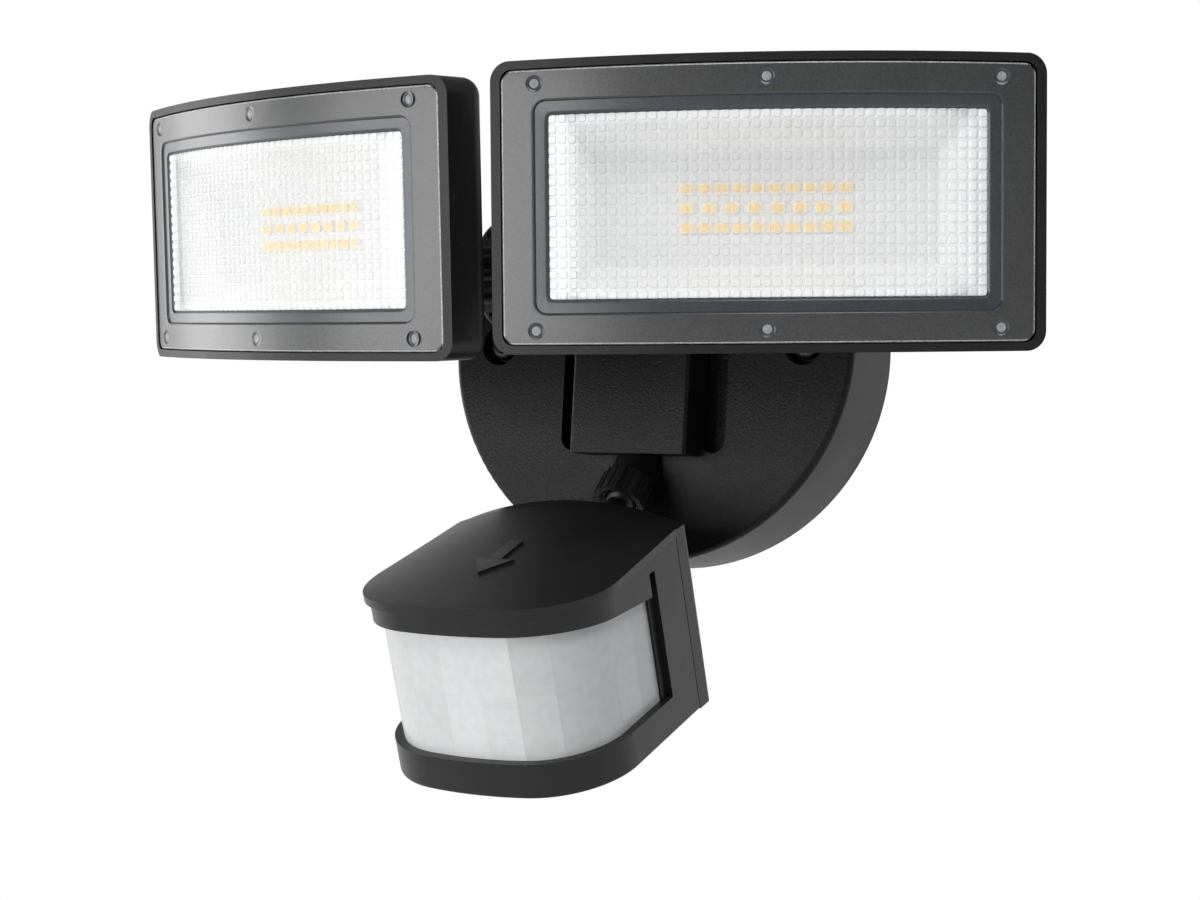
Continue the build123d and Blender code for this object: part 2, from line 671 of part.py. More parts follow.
with BuildPart() as housing:
    half_w = HEAD_W / 2
    edge_y = bow(half_w, HEAD_FRONT_R)
    with BuildSketch(Plane.XY.offset(-HEAD_H / 2)):
        with BuildLine():
            ThreePointArc((-half_w, edge_y), (0, 0), (half_w, edge_y))
            Polyline(
                (half_w, edge_y),
                (half_w - HEAD_DRAFT, HEAD_DEPTH),
                (-half_w + HEAD_DRAFT, HEAD_DEPTH),
                (-half_w, edge_y),
            )
        make_face()
    extrude(amount=HEAD_H)
    corner_edges = housing.edges().filter_by(lambda e: abs(e.tangent_at(0.5).Y) > 0.9)
    fillet(corner_edges, HEAD_CORNER)
    fillet(housing.faces().sort_by(Axis.Y)[-1].edges(), HEAD_BACK_EDGE)
    add(
        bowed_slab(HEAD_W - 2 * HEAD_RIM_X, HEAD_H - 2 * HEAD_RIM_Z, COVER_CORNER, -AHEAD, LEDGE),
        mode=Mode.SUBTRACT,
    )
    with BuildSketch(Plane.XZ):
        RectangleRounded(
            HEAD_W - 2 * (HEAD_RIM_X + LEDGE_W), HEAD_H - 2 * (HEAD_RIM_Z + LEDGE_W), COVER_CORNER
        )
    extrude(amount=-HEAD_FLOOR, mode=Mode.SUBTRACT)
    # cooling fins, on each side of the knuckle
    with BuildSketch(Plane.XZ.offset(-HEAD_DEPTH + HEAD_BACK_EDGE / 2)):
        for side in (1, -1):
            for index in range(FIN_COUNT):
                with Locations((side * (FIN_START + index * FIN_PITCH), 0)):
                    Rectangle(FIN_T, HEAD_H - 2 * FIN_END)
    extrude(amount=-FIN_DEEP - HEAD_BACK_EDGE / 2)
    # ears of the pan knuckle
    for low in (EYE_H / 2 + SEAT_GAP, -EYE_H / 2 - SEAT_GAP - EAR_T):
        with BuildSketch(Plane.XY.offset(low)):
            with Locations((0, KNUCKLE_BACK)):
                Circle(EAR_R)
            with Locations((0, (KNUCKLE_BACK + EAR_ROOT) / 2)):
                Rectangle(2 * EAR_R, KNUCKLE_BACK - EAR_ROOT)
        extrude(amount=EAR_T)
    with BuildSketch(Plane.XY.offset(-EYE_H)):
        with Locations((0, KNUCKLE_BACK)):
            Circle(PIVOT_PIN_R)
    extrude(amount=2 * EYE_H, mode=Mode.SUBTRACT)
    with BuildSketch(Plane.XZ.offset(-HEAD_FLOOR)):
        with Locations(*BOARD_SCREWS_AT):
            Circle(BOARD_SCREW_R)
    extrude(amount=-BOARD_SCREW_L - CLOSE_GAP, mode=Mode.SUBTRACT)

with BuildPart() as cover:
    add(bowed_slab(COVER_W, COVER_H, COVER_CORNER, COVER_SET, COVER_SET + COVER_T))
    add(bowed_slab(PANE_OUTER_W, PANE_OUTER_H, COVER_CORNER, COVER_SET + COVER_T / 2, PANE_BACK))
    add(bowed_slab(PANE_W, PANE_H, STEP_CORNER, -AHEAD, COVER_SET + WINDOW_SET / 2), mode=Mode.SUBTRACT)
    add(bowed_slab(WINDOW_W, WINDOW_H, WINDOW_CORNER, -AHEAD, COVER_SET + WINDOW_SET), mode=Mode.SUBTRACT)
    with BuildSketch(Plane.XZ):
        with Locations(*PIN_PLACES):
            Circle(PIN_R + RUN_CLEAR)
    extrude(amount=-HEAD_DEPTH, mode=Mode.SUBTRACT)

with BuildPart() as cover_seal:
    add(bowed_slab(COVER_W, COVER_H, COVER_CORNER, SEAL_FRONT, SEAL_FRONT + SEAL_RING_T))
    add(
        bowed_slab(COVER_W - 2 * SEAL_RING_W, COVER_H - 2 * SEAL_RING_W, SEAL_RING_CORNER, 0, LEDGE),
        mode=Mode.SUBTRACT,
    )

with BuildPart() as bezel:
    add(bowed_slab(COVER_W, COVER_H, COVER_CORNER, BEZEL_FRONT, BEZEL_FRONT + BEZEL_T))
    add(bowed_slab(BEZEL_W, BEZEL_H, COVER_CORNER, 0, LEDGE), mode=Mode.SUBTRACT)
    with BuildSketch(Plane.XZ):
        with Locations(*PIN_PLACES):
            Circle(PIN_R + RUN_CLEAR)
    extrude(amount=-HEAD_DEPTH, mode=Mode.SUBTRACT)

with BuildPart() as cover_pins:
    for x, z in PIN_PLACES:
        with BuildSketch(Plane.XZ.offset(-bow(x, HEAD_FRONT_R) - COVER_SET)):
            with Locations((x, z)):
                Circle(PIN_R)
        extrude(amount=-(BEZEL_FRONT + BEZEL_T - COVER_SET))

with BuildPart() as reflector:
    with BuildSketch(Plane.XZ.offset(-BOARD_FRONT + CLOSE_GAP)):
        Rectangle(TRAY_FLOOR_W + 2 * TRAY_T, TRAY_FLOOR_H + 2 * TRAY_T)
    with BuildSketch(Plane.XZ.offset(-PANE_BACK)):
        Rectangle(TRAY_MOUTH_W + 2 * TRAY_T, TRAY_MOUTH_H + 2 * TRAY_T)
    loft()
    with BuildSketch(Plane.XZ.offset(-BOARD_FRONT + CLOSE_GAP)):
        Rectangle(TRAY_FLOOR_W, TRAY_FLOOR_H)
    with BuildSketch(Plane.XZ.offset(-PANE_BACK)):
        Rectangle(TRAY_MOUTH_W, TRAY_MOUTH_H)
    loft(mode=Mode.SUBTRACT)
    add(bowed_slab(HEAD_W, HEAD_H, 0, -AHEAD, PANE_BACK + CLOSE_GAP), mode=Mode.SUBTRACT)

with BuildPart() as led_board:
    with BuildSketch(Plane.XZ.offset(-BOARD_FRONT)):
        Rectangle(BOARD_W, BOARD_H)
        with Locations(*BOARD_SCREWS_AT):
            Circle(BOARD_SCREW_R, mode=Mode.SUBTRACT)
    extrude(amount=-BOARD_T)

with BuildPart() as leds:
    with BuildSketch(Plane.XZ.offset(-BOARD_FRONT)):
        for row, count in enumerate(LED_ROWS):
            with Locations((0, (1 - row) * LED_PITCH_Z)):
                with GridLocations(LED_PITCH_X, 1, count, 1):
                    Rectangle(LED_L, LED_W)
    extrude(amount=LED_T)

with BuildPart() as board_screws:
    with Locations(Plane.XZ.offset(-BOARD_FRONT)):
        with Locations(*BOARD_SCREWS_AT):
            Cylinder(BOARD_HEAD_R, BOARD_HEAD_H, align=(Align.CENTER, Align.CENTER, Align.MIN))
            Cylinder(
                BOARD_SCREW_R - RUN_CLEAR,
                BOARD_T + BOARD_SCREW_L,
                align=(Align.CENTER, Align.CENTER, Align.MAX),
            )

EAR_OUTER = EYE_H / 2 + SEAT_GAP + EAR_T
with BuildPart() as pivot_bolt:
    with BuildSketch(Plane.XY.offset(-EAR_OUTER - PIVOT_HEAD_H)):
        with Locations((0, KNUCKLE_BACK)):
            Circle(PIVOT_PIN_R - RUN_CLEAR)
    extrude(amount=2 * EAR_OUTER + PIVOT_HEAD_H)
    with BuildSketch(Plane.XY.offset(EAR_OUTER)):
        with Locations((0, KNUCKLE_BACK)):
            Circle(PIVOT_HEAD_R)
    extrude(amount=PIVOT_HEAD_H)
    fillet(pivot_bolt.edges().group_by(Axis.Z)[-1], PIVOT_EDGE)
    with BuildSketch(Plane.XY.offset(EAR_OUTER + PIVOT_HEAD_H)):
        with Locations((0, KNUCKLE_BACK)):
            RegularPolygon(PIVOT_HEAD_R * 0.5, 6)
    extrude(amount=-PIVOT_HEAD_H * 0.6, mode=Mode.SUBTRACT)

with BuildPart() as pivot_nut:
    with BuildSketch(Plane.XY.offset(-EAR_OUTER)):
        with Locations((0, KNUCKLE_BACK)):
            RegularPolygon(PIVOT_HEAD_R, 6)
            Circle(PIVOT_PIN_R, mode=Mode.SUBTRACT)
    extrude(amount=-PIVOT_HEAD_H)

HEAD_PIECES = {
    "housing": housing.part,
    "lens_cover": cover.part,
    "cover_seal": cover_seal.part,
    "bezel": bezel.part,
    "cover_pins": cover_pins.part,
    "reflector": reflector.part,
    "led_board": led_board.part,
    "leds": leds.part,
    "board_screws": board_screws.part,
    "pivot_bolt": pivot_bolt.part,
    "pivot_nut": pivot_nut.part,
}
for name, side, arm_at, head_at in (
    ("right", 1, RIGHT_ARM, RIGHT_HEAD),
    ("left", -1, LEFT_ARM, LEFT_HEAD),
):
    write(f"{name}_lock_ring", lock_ring(side), arm_at)
    write(f"{name}_arm", head_arm(side), arm_at)
    write(f"{name}_arm_seal", arm_seal(side), arm_at)
    for piece, solid in HEAD_PIECES.items():
        write(f"{name}_{piece}", solid, head_at)


# ---------------------------------------------------------------- sensor's ball joint
with BuildPart() as lock_nut:
    with BuildSketch(JOINT.offset(-NUT_BEHIND)):
        lobed(NUT_R - NUT_LOBE_R / 2, NUT_LOBE_R, NUT_LOBES)
    extrude(amount=NUT_BEHIND + NUT_AHEAD)
    with BuildSketch(JOINT.offset(-NUT_BEHIND)):
        Circle(NUT_BORE_R)
    extrude(amount=NUT_BEHIND + SEAT_FRONT + SEAT_GAP, mode=Mode.SUBTRACT)
    with BuildSketch(JOINT.offset(SEAT_FRONT + SEAT_GAP)):
        Circle(NUT_EYE_R)
    with BuildSketch(JOINT.offset(NUT_AHEAD)):
        Circle(NUT_EYE_R + NUT_FLARE)
    loft(mode=Mode.SUBTRACT)
write("sensor_lock_nut", lock_nut.part)

with BuildPart() as ball_seat:
    with BuildSketch(JOINT.offset(SEAT_GAP)):
        Circle(NUT_BORE_R - RUN_CLEAR)
    extrude(amount=SEAT_FRONT - SEAT_GAP)
    with Locations(JOINT.location):
        Sphere(BALL_R + RUN_CLEAR, mode=Mode.SUBTRACT)
write("sensor_ball_seat", ball_seat.part)

# in the sensor's frame: local +Z of this one runs from the sensor to the ball
STEM_RUN = Vector(0, STEM_Y - BACK_COVER_D, STEM_Z - STEM_ROOT_Z)
STEM = Plane(origin=(0, BACK_COVER_D, STEM_ROOT_Z), x_dir=(1, 0, 0), z_dir=STEM_RUN.normalized())
STEM_TAIL = STEM_INNER_L + SEAT_GAP + STEM_NUT_T + STEM_PAST

with BuildPart() as stem:
    with Locations((0, STEM_Y, STEM_Z)):
        Sphere(BALL_R)
    with BuildSketch(STEM.offset(-STEM_TAIL)):
        Circle(STEM_R)
    extrude(amount=STEM_RUN.length + STEM_TAIL)
    with BuildSketch(STEM.offset(STEM_BOSS_L + SEAT_GAP)):
        Circle(STEM_COLLAR_R)
    extrude(amount=STEM_COLLAR_T)
    round_edges = stem.edges().filter_by(GeomType.CIRCLE)
    fillet(round_edges.filter_by(lambda e: e.radius > STEM_R + COLLAR_EDGE), COLLAR_EDGE)
    with BuildSketch(STEM.offset(-2 * STEM_INNER_L)):
        Circle(STEM_BORE_R)
    extrude(amount=STEM_RUN.length + 3 * STEM_INNER_L, mode=Mode.SUBTRACT)
write("sensor_stem", stem.part, SENSOR)

with BuildPart() as stem_nut:
    with BuildSketch(STEM.offset(-STEM_INNER_L - SEAT_GAP)):
        RegularPolygon(STEM_NUT_R, 6)
        Circle(STEM_R, mode=Mode.SUBTRACT)
    extrude(amount=-STEM_NUT_T)
write("stem_nut", stem_nut.part, SENSOR)


# ---------------------------------------------------------------- sensor
def d_plan(inset):
    """Plan outline of the sensor, this far inside the hood's edge: straight back, bowed front."""
    half = SENSOR_HALF_W - inset
    back = SENSOR_BACK_HALF_W - min(inset, BODY_INSET) * BACK_INSET - max(inset - BODY_INSET, 0)
    depth = SENSOR_DEPTH - inset
    front_r = SENSOR_FRONT_R - inset
    corner = SENSOR_CORNER_R - inset
    turn_x = half - corner
    reach = math.sqrt((front_r - corner) ** 2 - turn_x**2)
    turn_y = front_r - depth - reach
    start = math.atan2(turn_x, reach)
    end = math.pi / 2 + math.atan2(half - back, -turn_y)
    middle = (start + end) / 2
    joint_x = front_r * math.sin(start)
    joint_y = front_r - depth - front_r * math.cos(start)
    mid_x = turn_x + corner * math.sin(middle)
    mid_y = turn_y - corner * math.cos(middle)
    side_x = turn_x + corner * math.sin(end)
    side_y = turn_y - corner * math.cos(end)
    with BuildLine() as outline:
        ThreePointArc((-joint_x, joint_y), (0, -depth), (joint_x, joint_y))
        ThreePointArc((joint_x, joint_y), (mid_x, mid_y), (side_x, side_y))
        Polyline((side_x, side_y), (back, 0), (-back, 0), (-side_x, side_y))
        ThreePointArc((-side_x, side_y), (-mid_x, mid_y), (-joint_x, joint_y))
    make_face(outline.edges())


def crowned(half, middle, crown, low):
    """Section with an arched top, this much lower at its edges, over flat sides and underside."""
    edge = middle - crown
    with BuildLine() as outline:
        ThreePointArc((-half, edge), (0, middle), (half, edge))
        Polyline((half, edge), (half, low), (-half, low), (-half, edge))
    make_face(outline.edges())


def under_hood(drop):
    """Everything lower than the hood's crowned and sloping top, this far below it."""
    with BuildPart() as under:
        with BuildSketch(Plane.XZ):
            crowned(SENSOR_HALF_W, HOOD_RISE - drop, HOOD_CROWN_BACK, -2 * SENSOR_HEIGHT)
        with BuildSketch(Plane.XZ.offset(SENSOR_DEPTH)):
            crowned(SENSOR_HALF_W, -drop, HOOD_CROWN_FRONT, -2 * SENSOR_HEIGHT)
        loft(ruled=True)
    return under.part


def d_block(inset, low, drop):
    """Block of the sensor's plan outline, from one level up to below the hood's top."""
    with BuildPart() as block:
        with BuildSketch(Plane.XY.offset(low)):
            d_plan(inset)
        extrude(amount=SENSOR_HEIGHT * 2)
        add(under_hood(drop), mode=Mode.INTERSECT)
    return block.part


LENS_LOW = -LIP_H - LENS_H
TRAY_FLOOR = -SENSOR_HEIGHT + SENSOR_WALL
LENS_SKIN = BODY_INSET + SENSOR_WALL + CLOSE_GAP
WINDOW_BACK = -SIDE_WALL_D - GROOVE_W
KNOB_PLACES = [(-KNOB_PITCH, KNOB_Y), (0, KNOB_Y), (KNOB_PITCH, KNOB_Y)]
STAKE_X = CONTROL_BOARD_W / 2 - STAKE_R
KNOB_TOP = -SENSOR_HEIGHT - KNOB_PROUD + KNOB_H
POT_LOW = KNOB_TOP + SEAT_GAP
SCREW_PLACES = [
    (x, z) for x in (-COVER_SCREW_X, COVER_SCREW_X) for z in (COVER_SCREW_TOP, COVER_SCREW_LOW)
]
POST_PLACES = [
    (x, z)
    for x in (-BOARD_POST_X, BOARD_POST_X)
    for z in (SENSOR_BOARD_Z - BOARD_POST_Z, SENSOR_BOARD_Z + BOARD_POST_Z)
]


def window(margin):
    """Side profile of the lens window: level below, its upper edge follows the hood's lip."""
    slope = LIP_DROP / SENSOR_DEPTH
    front = -SENSOR_DEPTH * 1.2
    back = WINDOW_BACK - margin
    with BuildLine() as outline:
        Polyline(
            (front, LENS_LOW + margin),
            (back, LENS_LOW + margin),
            (back, -LIP_H - slope * (SENSOR_DEPTH + back) - margin),
            (front, -LIP_H - slope * (SENSOR_DEPTH + front) - margin),
            close=True,
        )
    make_face(outline.edges())


with BuildPart() as groove:
    with BuildSketch(Plane.YZ):
        with Locations((WINDOW_BACK + GROOVE_W / 2, (GROOVE_TOP + LENS_LOW) / 2)):
            Rectangle(GROOVE_W, GROOVE_TOP - LENS_LOW)
    extrude(amount=SENSOR_HALF_W * 2, both=True)
    add(d_block(BODY_INSET + GROOVE_D, -2 * SENSOR_HEIGHT, -SENSOR_HEIGHT / 4), mode=Mode.SUBTRACT)

with BuildPart() as sensor_housing:
    add(d_block(0, -SENSOR_HEIGHT / 2, 0))
    add(d_block(0, -SENSOR_HEIGHT, HOOD_EDGE_T), mode=Mode.SUBTRACT)
    add(d_block(BODY_INSET, -SENSOR_HEIGHT, 0))
    low_edges = sensor_housing.faces().sort_by(Axis.Z)[0].edges()
    fillet(low_edges.filter_by(lambda e: e.center().Y < -TRAY_EDGE), TRAY_EDGE)
    add(d_block(BODY_INSET + SENSOR_WALL, TRAY_FLOOR, HOOD_EDGE_T), mode=Mode.SUBTRACT)
    # posts for the cover's screws
    with BuildSketch(Plane.XZ):
        with Locations(*SCREW_PLACES):
            Circle(SENSOR_POST_R)
    extrude(amount=COVER_SCREW_L)
    # lens window, with the groove beside it
    with BuildSketch(Plane.YZ):
        window(0)
    extrude(amount=SENSOR_HALF_W * 2, both=True, mode=Mode.SUBTRACT)
    add(groove.part, mode=Mode.SUBTRACT)
    with BuildSketch(Plane.XZ):
        with Locations(*SCREW_PLACES):
            Circle(SENSOR_SCREW_R)
    extrude(amount=COVER_SCREW_L - POST_SINK, mode=Mode.SUBTRACT)
    with BuildSketch(Plane.XY.offset(TRAY_FLOOR)):
        with Locations((STAKE_X, KNOB_Y), (-STAKE_X, KNOB_Y)):
            Circle(STAKE_R)
    extrude(amount=POT_LOW + POT_H - TRAY_FLOOR)
    with BuildSketch(Plane.XY.offset(TRAY_FLOOR)):
        with Locations((STAKE_X, KNOB_Y), (-STAKE_X, KNOB_Y)):
            Circle(STAKE_PIN_R)
    extrude(amount=POT_LOW + POT_H + 2 * BOARD_T - TRAY_FLOOR)
    with BuildSketch(Plane.XY.offset(-SENSOR_HEIGHT)):
        with Locations(*KNOB_PLACES):
            Circle(KNOB_R + RUN_CLEAR)
    extrude(amount=SENSOR_WALL, mode=Mode.SUBTRACT)
write("sensor_housing", sensor_housing.part, SENSOR)

with BuildPart() as back_cover:
    with BuildSketch(Plane.XZ.offset(-SEAM_GAP)):
        crowned(
            SENSOR_BACK_HALF_W - BODY_INSET * BACK_INSET, HOOD_RISE, HOOD_CROWN_BACK, -SENSOR_HEIGHT
        )
    extrude(amount=SEAM_GAP - CLOSE_GAP - BACK_COVER_D)
    fillet(back_cover.faces().sort_by(Axis.Y)[-1].edges(), BACK_EDGE_R)
    with BuildSketch(Plane.XZ.offset(-CLOSE_GAP)):
        crowned(
            SENSOR_BACK_HALF_W - BODY_INSET - SENSOR_WALL,
            HOOD_RISE - SENSOR_WALL - COVER_TOP_EXTRA,
            HOOD_CROWN_BACK,
            TRAY_FLOOR,
        )
    extrude(amount=-(BACK_COVER_D - SENSOR_WALL), mode=Mode.SUBTRACT)
    # boss for the stem, posts for the board and sleeves for the screws
    with BuildSketch(STEM.offset(-STEM_INNER_L)):
        Circle(STEM_BOSS_R)
    extrude(amount=STEM_INNER_L + STEM_BOSS_L)
    with BuildSketch(STEM.offset(-STEM_INNER_L)):
        Circle(STEM_R + RUN_CLEAR)
    extrude(amount=STEM_INNER_L + STEM_BOSS_L, mode=Mode.SUBTRACT)
    with BuildSketch(Plane.XZ.offset(-SENSOR_BOARD_Y - CLOSE_GAP)):
        with Locations(*POST_PLACES):
            Circle(SENSOR_POST_R)
    extrude(amount=SENSOR_BOARD_Y + CLOSE_GAP - BACK_COVER_D + POST_SINK)
    with BuildSketch(Plane.XZ.offset(-CLOSE_GAP)):
        with Locations(*SCREW_PLACES):
            Circle(SENSOR_POST_R)
    extrude(amount=-(BACK_COVER_D - POST_SINK))
    with BuildSketch(Plane.XZ.offset(-CLOSE_GAP)):
        with Locations(*SCREW_PLACES):
            Circle(SENSOR_SCREW_R + CLOSE_GAP)
    extrude(amount=-2 * BACK_COVER_D, mode=Mode.SUBTRACT)
    with BuildSketch(Plane.XZ.offset(-BACK_COVER_D - CLOSE_GAP)):
        with Locations(*SCREW_PLACES):
            Circle(COVER_SCREW_HEAD_R + COVER_GAP)
    extrude(amount=COVER_SCREW_HEAD_H + COVER_SCREW_SINK, mode=Mode.SUBTRACT)
    with BuildSketch(Plane.XZ.offset(-SENSOR_BOARD_Y)):
        with Locations(*POST_PLACES):
            Circle(SENSOR_SCREW_R)
    extrude(amount=-BACK_COVER_D, mode=Mode.SUBTRACT)
write("sensor_back_cover", back_cover.part, SENSOR)

SCREW_SEAT = BACK_COVER_D + CLOSE_GAP - COVER_SCREW_HEAD_H - COVER_SCREW_SINK
with BuildPart() as cover_screws:
    with Locations(Plane.XZ.offset(-SCREW_SEAT)):
        with Locations(*SCREW_PLACES):
            Cylinder(COVER_SCREW_HEAD_R, COVER_SCREW_HEAD_H, align=(Align.CENTER, Align.CENTER, Align.MAX))
            Cylinder(
                SENSOR_SCREW_R - RUN_CLEAR,
                SCREW_SEAT + COVER_SCREW_L - 2 * POST_SINK,
                align=(Align.CENTER, Align.CENTER, Align.MIN),
            )
            Box(
                COVER_SLOT_L, COVER_SLOT_W, COVER_SCREW_HEAD_H / 2,
                align=(Align.CENTER, Align.CENTER, Align.MIN), mode=Mode.SUBTRACT,
            )
write("sensor_cover_screws", cover_screws.part, SENSOR)

with BuildPart() as pir_lens:
    add(d_block(LENS_SKIN, TRAY_FLOOR + CLOSE_GAP, HOOD_EDGE_T + CLOSE_GAP))
    add(d_block(LENS_SKIN + LENS_T, -SENSOR_HEIGHT, 0), mode=Mode.SUBTRACT)
    with BuildSketch(Plane.YZ):
        window(-LENS_TUCK)
    extrude(amount=SENSOR_HALF_W, both=True, mode=Mode.INTERSECT)
write("pir_lens", pir_lens.part, SENSOR)

RETAINER_SKIN = LENS_SKIN + LENS_T + CLOSE_GAP
with BuildPart() as lens_retainer:
    add(d_block(RETAINER_SKIN, TRAY_FLOOR + CLOSE_GAP, HOOD_EDGE_T + CLOSE_GAP))
    add(d_block(RETAINER_SKIN + RETAINER_T, -SENSOR_HEIGHT, 0), mode=Mode.SUBTRACT)
    with BuildSketch(Plane.XZ.offset(-WINDOW_BACK - RETAINER_START)):
        Rectangle(3 * SENSOR_HALF_W, 3 * SENSOR_HEIGHT)
    extrude(amount=2 * SENSOR_DEPTH, mode=Mode.INTERSECT)
    with BuildSketch(Plane.YZ):
        window(LENS_T)
    extrude(amount=SENSOR_HALF_W, both=True, mode=Mode.SUBTRACT)
write("lens_retainer", lens_retainer.part, SENSOR)

with BuildPart() as sensor_board:
    with BuildSketch(Plane.XZ.offset(-SENSOR_BOARD_Y)):
        with Locations((0, SENSOR_BOARD_Z)):
            Rectangle(SENSOR_BOARD_W, SENSOR_BOARD_H)
        with Locations(*POST_PLACES):
            Circle(SENSOR_SCREW_R, mode=Mode.SUBTRACT)
    extrude(amount=BOARD_T)
write("sensor_board", sensor_board.part, SENSOR)

with BuildPart() as sensor_board_screws:
    with Locations(Plane.XZ.offset(-SENSOR_BOARD_Y + BOARD_T)):
        with Locations(*POST_PLACES):
            Cylinder(COVER_SCREW_HEAD_R, COVER_SCREW_HEAD_H, align=(Align.CENTER, Align.CENTER, Align.MIN))
            Cylinder(
                SENSOR_SCREW_R - RUN_CLEAR,
                BOARD_T + BACK_COVER_D,
                align=(Align.CENTER, Align.CENTER, Align.MAX),
            )
write("sensor_board_screws", sensor_board_screws.part, SENSOR)

with BuildPart() as detector:
    with Locations(Plane.XZ.offset(-SENSOR_BOARD_Y + BOARD_T)):
        with Locations((0, SENSOR_BOARD_Z)):
            Cylinder(DETECTOR_R + DETECTOR_BRIM, DETECTOR_BRIM, align=(Align.CENTER, Align.CENTER, Align.MIN))
            Cylinder(DETECTOR_R, DETECTOR_H, align=(Align.CENTER, Align.CENTER, Align.MIN))
            with Locations((0, 0, DETECTOR_H)):
                Box(
                    DETECTOR_WINDOW_W, DETECTOR_WINDOW_H, DETECTOR_WINDOW_D,
                    align=(Align.CENTER, Align.CENTER, Align.MAX), mode=Mode.SUBTRACT,
                )
write("pir_detector", detector.part, SENSOR)

with BuildPart() as control_board:
    with BuildSketch(Plane.XY.offset(POT_LOW + POT_H)):
        with Locations((0, KNOB_Y)):
            Rectangle(CONTROL_BOARD_W, CONTROL_BOARD_D)
        with Locations((STAKE_X, KNOB_Y), (-STAKE_X, KNOB_Y)):
            Circle(STAKE_PIN_R + RUN_CLEAR, mode=Mode.SUBTRACT)
    extrude(amount=BOARD_T)
write("control_board", control_board.part, SENSOR)

with BuildPart() as pots:
    with BuildSketch(Plane.XY.offset(POT_LOW)):
        with Locations(*KNOB_PLACES):
            Rectangle(POT_SIDE, POT_SIDE)
            Circle(SHAFT_R + RUN_CLEAR, mode=Mode.SUBTRACT)
    extrude(amount=POT_H)
write("control_pots", pots.part, SENSOR)

for knob_name, (knob_x, knob_y) in zip(("time_knob", "light_knob", "range_knob"), KNOB_PLACES):
    with BuildPart() as knob:
        with BuildSketch(Plane.XY.offset(-SENSOR_HEIGHT - KNOB_PROUD)):
            with Locations((knob_x, knob_y)):
                Circle(KNOB_R)
        extrude(amount=KNOB_H)
        with BuildSketch(Plane.XY.offset(KNOB_TOP)):
            with Locations((knob_x, knob_y)):
                Circle(SHAFT_R)
        extrude(amount=SHAFT_L)
        with BuildSketch(Plane.XY.offset(-SENSOR_HEIGHT - KNOB_PROUD)):
            with Locations((knob_x, knob_y)):
                SlotOverall(KNOB_SLOT_L, KNOB_SLOT_W, rotation=90)
        extrude(amount=KNOB_SLOT_D, mode=Mode.SUBTRACT)
    write(knob_name, knob.part, SENSOR)
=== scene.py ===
"""Looks of the motion sensor security light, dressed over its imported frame. Metres, in its axes."""
import json
import math
import random

import bpy
from mathutils import Matrix, Vector


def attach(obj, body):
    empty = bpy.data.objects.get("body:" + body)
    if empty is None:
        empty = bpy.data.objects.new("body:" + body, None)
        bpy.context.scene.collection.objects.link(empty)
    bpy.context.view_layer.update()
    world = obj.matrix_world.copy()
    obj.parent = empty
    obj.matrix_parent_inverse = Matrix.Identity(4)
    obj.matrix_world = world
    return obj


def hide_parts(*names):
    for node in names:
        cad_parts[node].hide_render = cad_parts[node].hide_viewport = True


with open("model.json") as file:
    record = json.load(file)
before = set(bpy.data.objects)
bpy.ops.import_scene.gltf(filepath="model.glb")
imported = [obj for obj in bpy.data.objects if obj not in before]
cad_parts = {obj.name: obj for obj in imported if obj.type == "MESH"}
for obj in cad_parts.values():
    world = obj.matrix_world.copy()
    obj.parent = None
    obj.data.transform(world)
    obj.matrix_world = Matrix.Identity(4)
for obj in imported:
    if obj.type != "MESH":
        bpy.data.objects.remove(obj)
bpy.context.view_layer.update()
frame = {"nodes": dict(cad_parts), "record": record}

MM = 0.001
nodes = frame["nodes"]
body_of_node = {
    node: body for body, names in frame["record"]["behaviour"]["bodies"].items() for node in names
}
slot_of_node = {entry["node"]: entry["material_slot"] for entry in frame["record"]["subparts"]}

# ---------------------------------------------------------------- sizes repeated from the solids, mm
HUB = (0, -70.3, 17.5)
PIVOT_X, PIVOT_AHEAD, PIVOT_RISE = 64.65, 27.5, 15.0
KNUCKLE_BACK = 43.0
RIGHT_TILT, RIGHT_PAN = 7.6, 22.3
LEFT_TILT, LEFT_PAN = 8.9, 19.5
HEAD_FRONT_R = 209.5
COVER_W, COVER_H, COVER_SET = 140.1, 72.3, 0.4
COVER_CORNER = 3.2
PANE_W, PANE_H = 122.1, 56.0
WINDOW_W, WINDOW_H = 115.3, 49.2
WINDOW_SET, WINDOW_CORNER = 1.4, 1.7
PINS = [(x, z) for x in (-60.9, 0, 60.9) for z in (-32.5, 32.5)]
LED_FRONT = 21.3
LED_ROWS = (10, 8, 10)
BALL = (0, -46.0, -48.5)
STEM_Y, STEM_Z = 35.8, -3.0
SENSOR_PAN, SENSOR_TILT = -4.6, 22.2
SENSOR_HALF_W, SENSOR_BACK_HALF_W, SENSOR_DEPTH = 39.5, 37.6, 68.5
SENSOR_FRONT_R, SENSOR_CORNER_R = 111.0, 27.3
HOOD_RISE, CROWN_BACK, CROWN_FRONT = 5.55, 6.5, 2.6
LIP_H, LENS_H, LIP_DROP = 8.65, 37.7, 7.8
BODY_INSET, LENS_INSET, LENS_T = 1.5, 4.2, 1.3
LENS_BACK = -18.2
BACK_INSET = 0.3

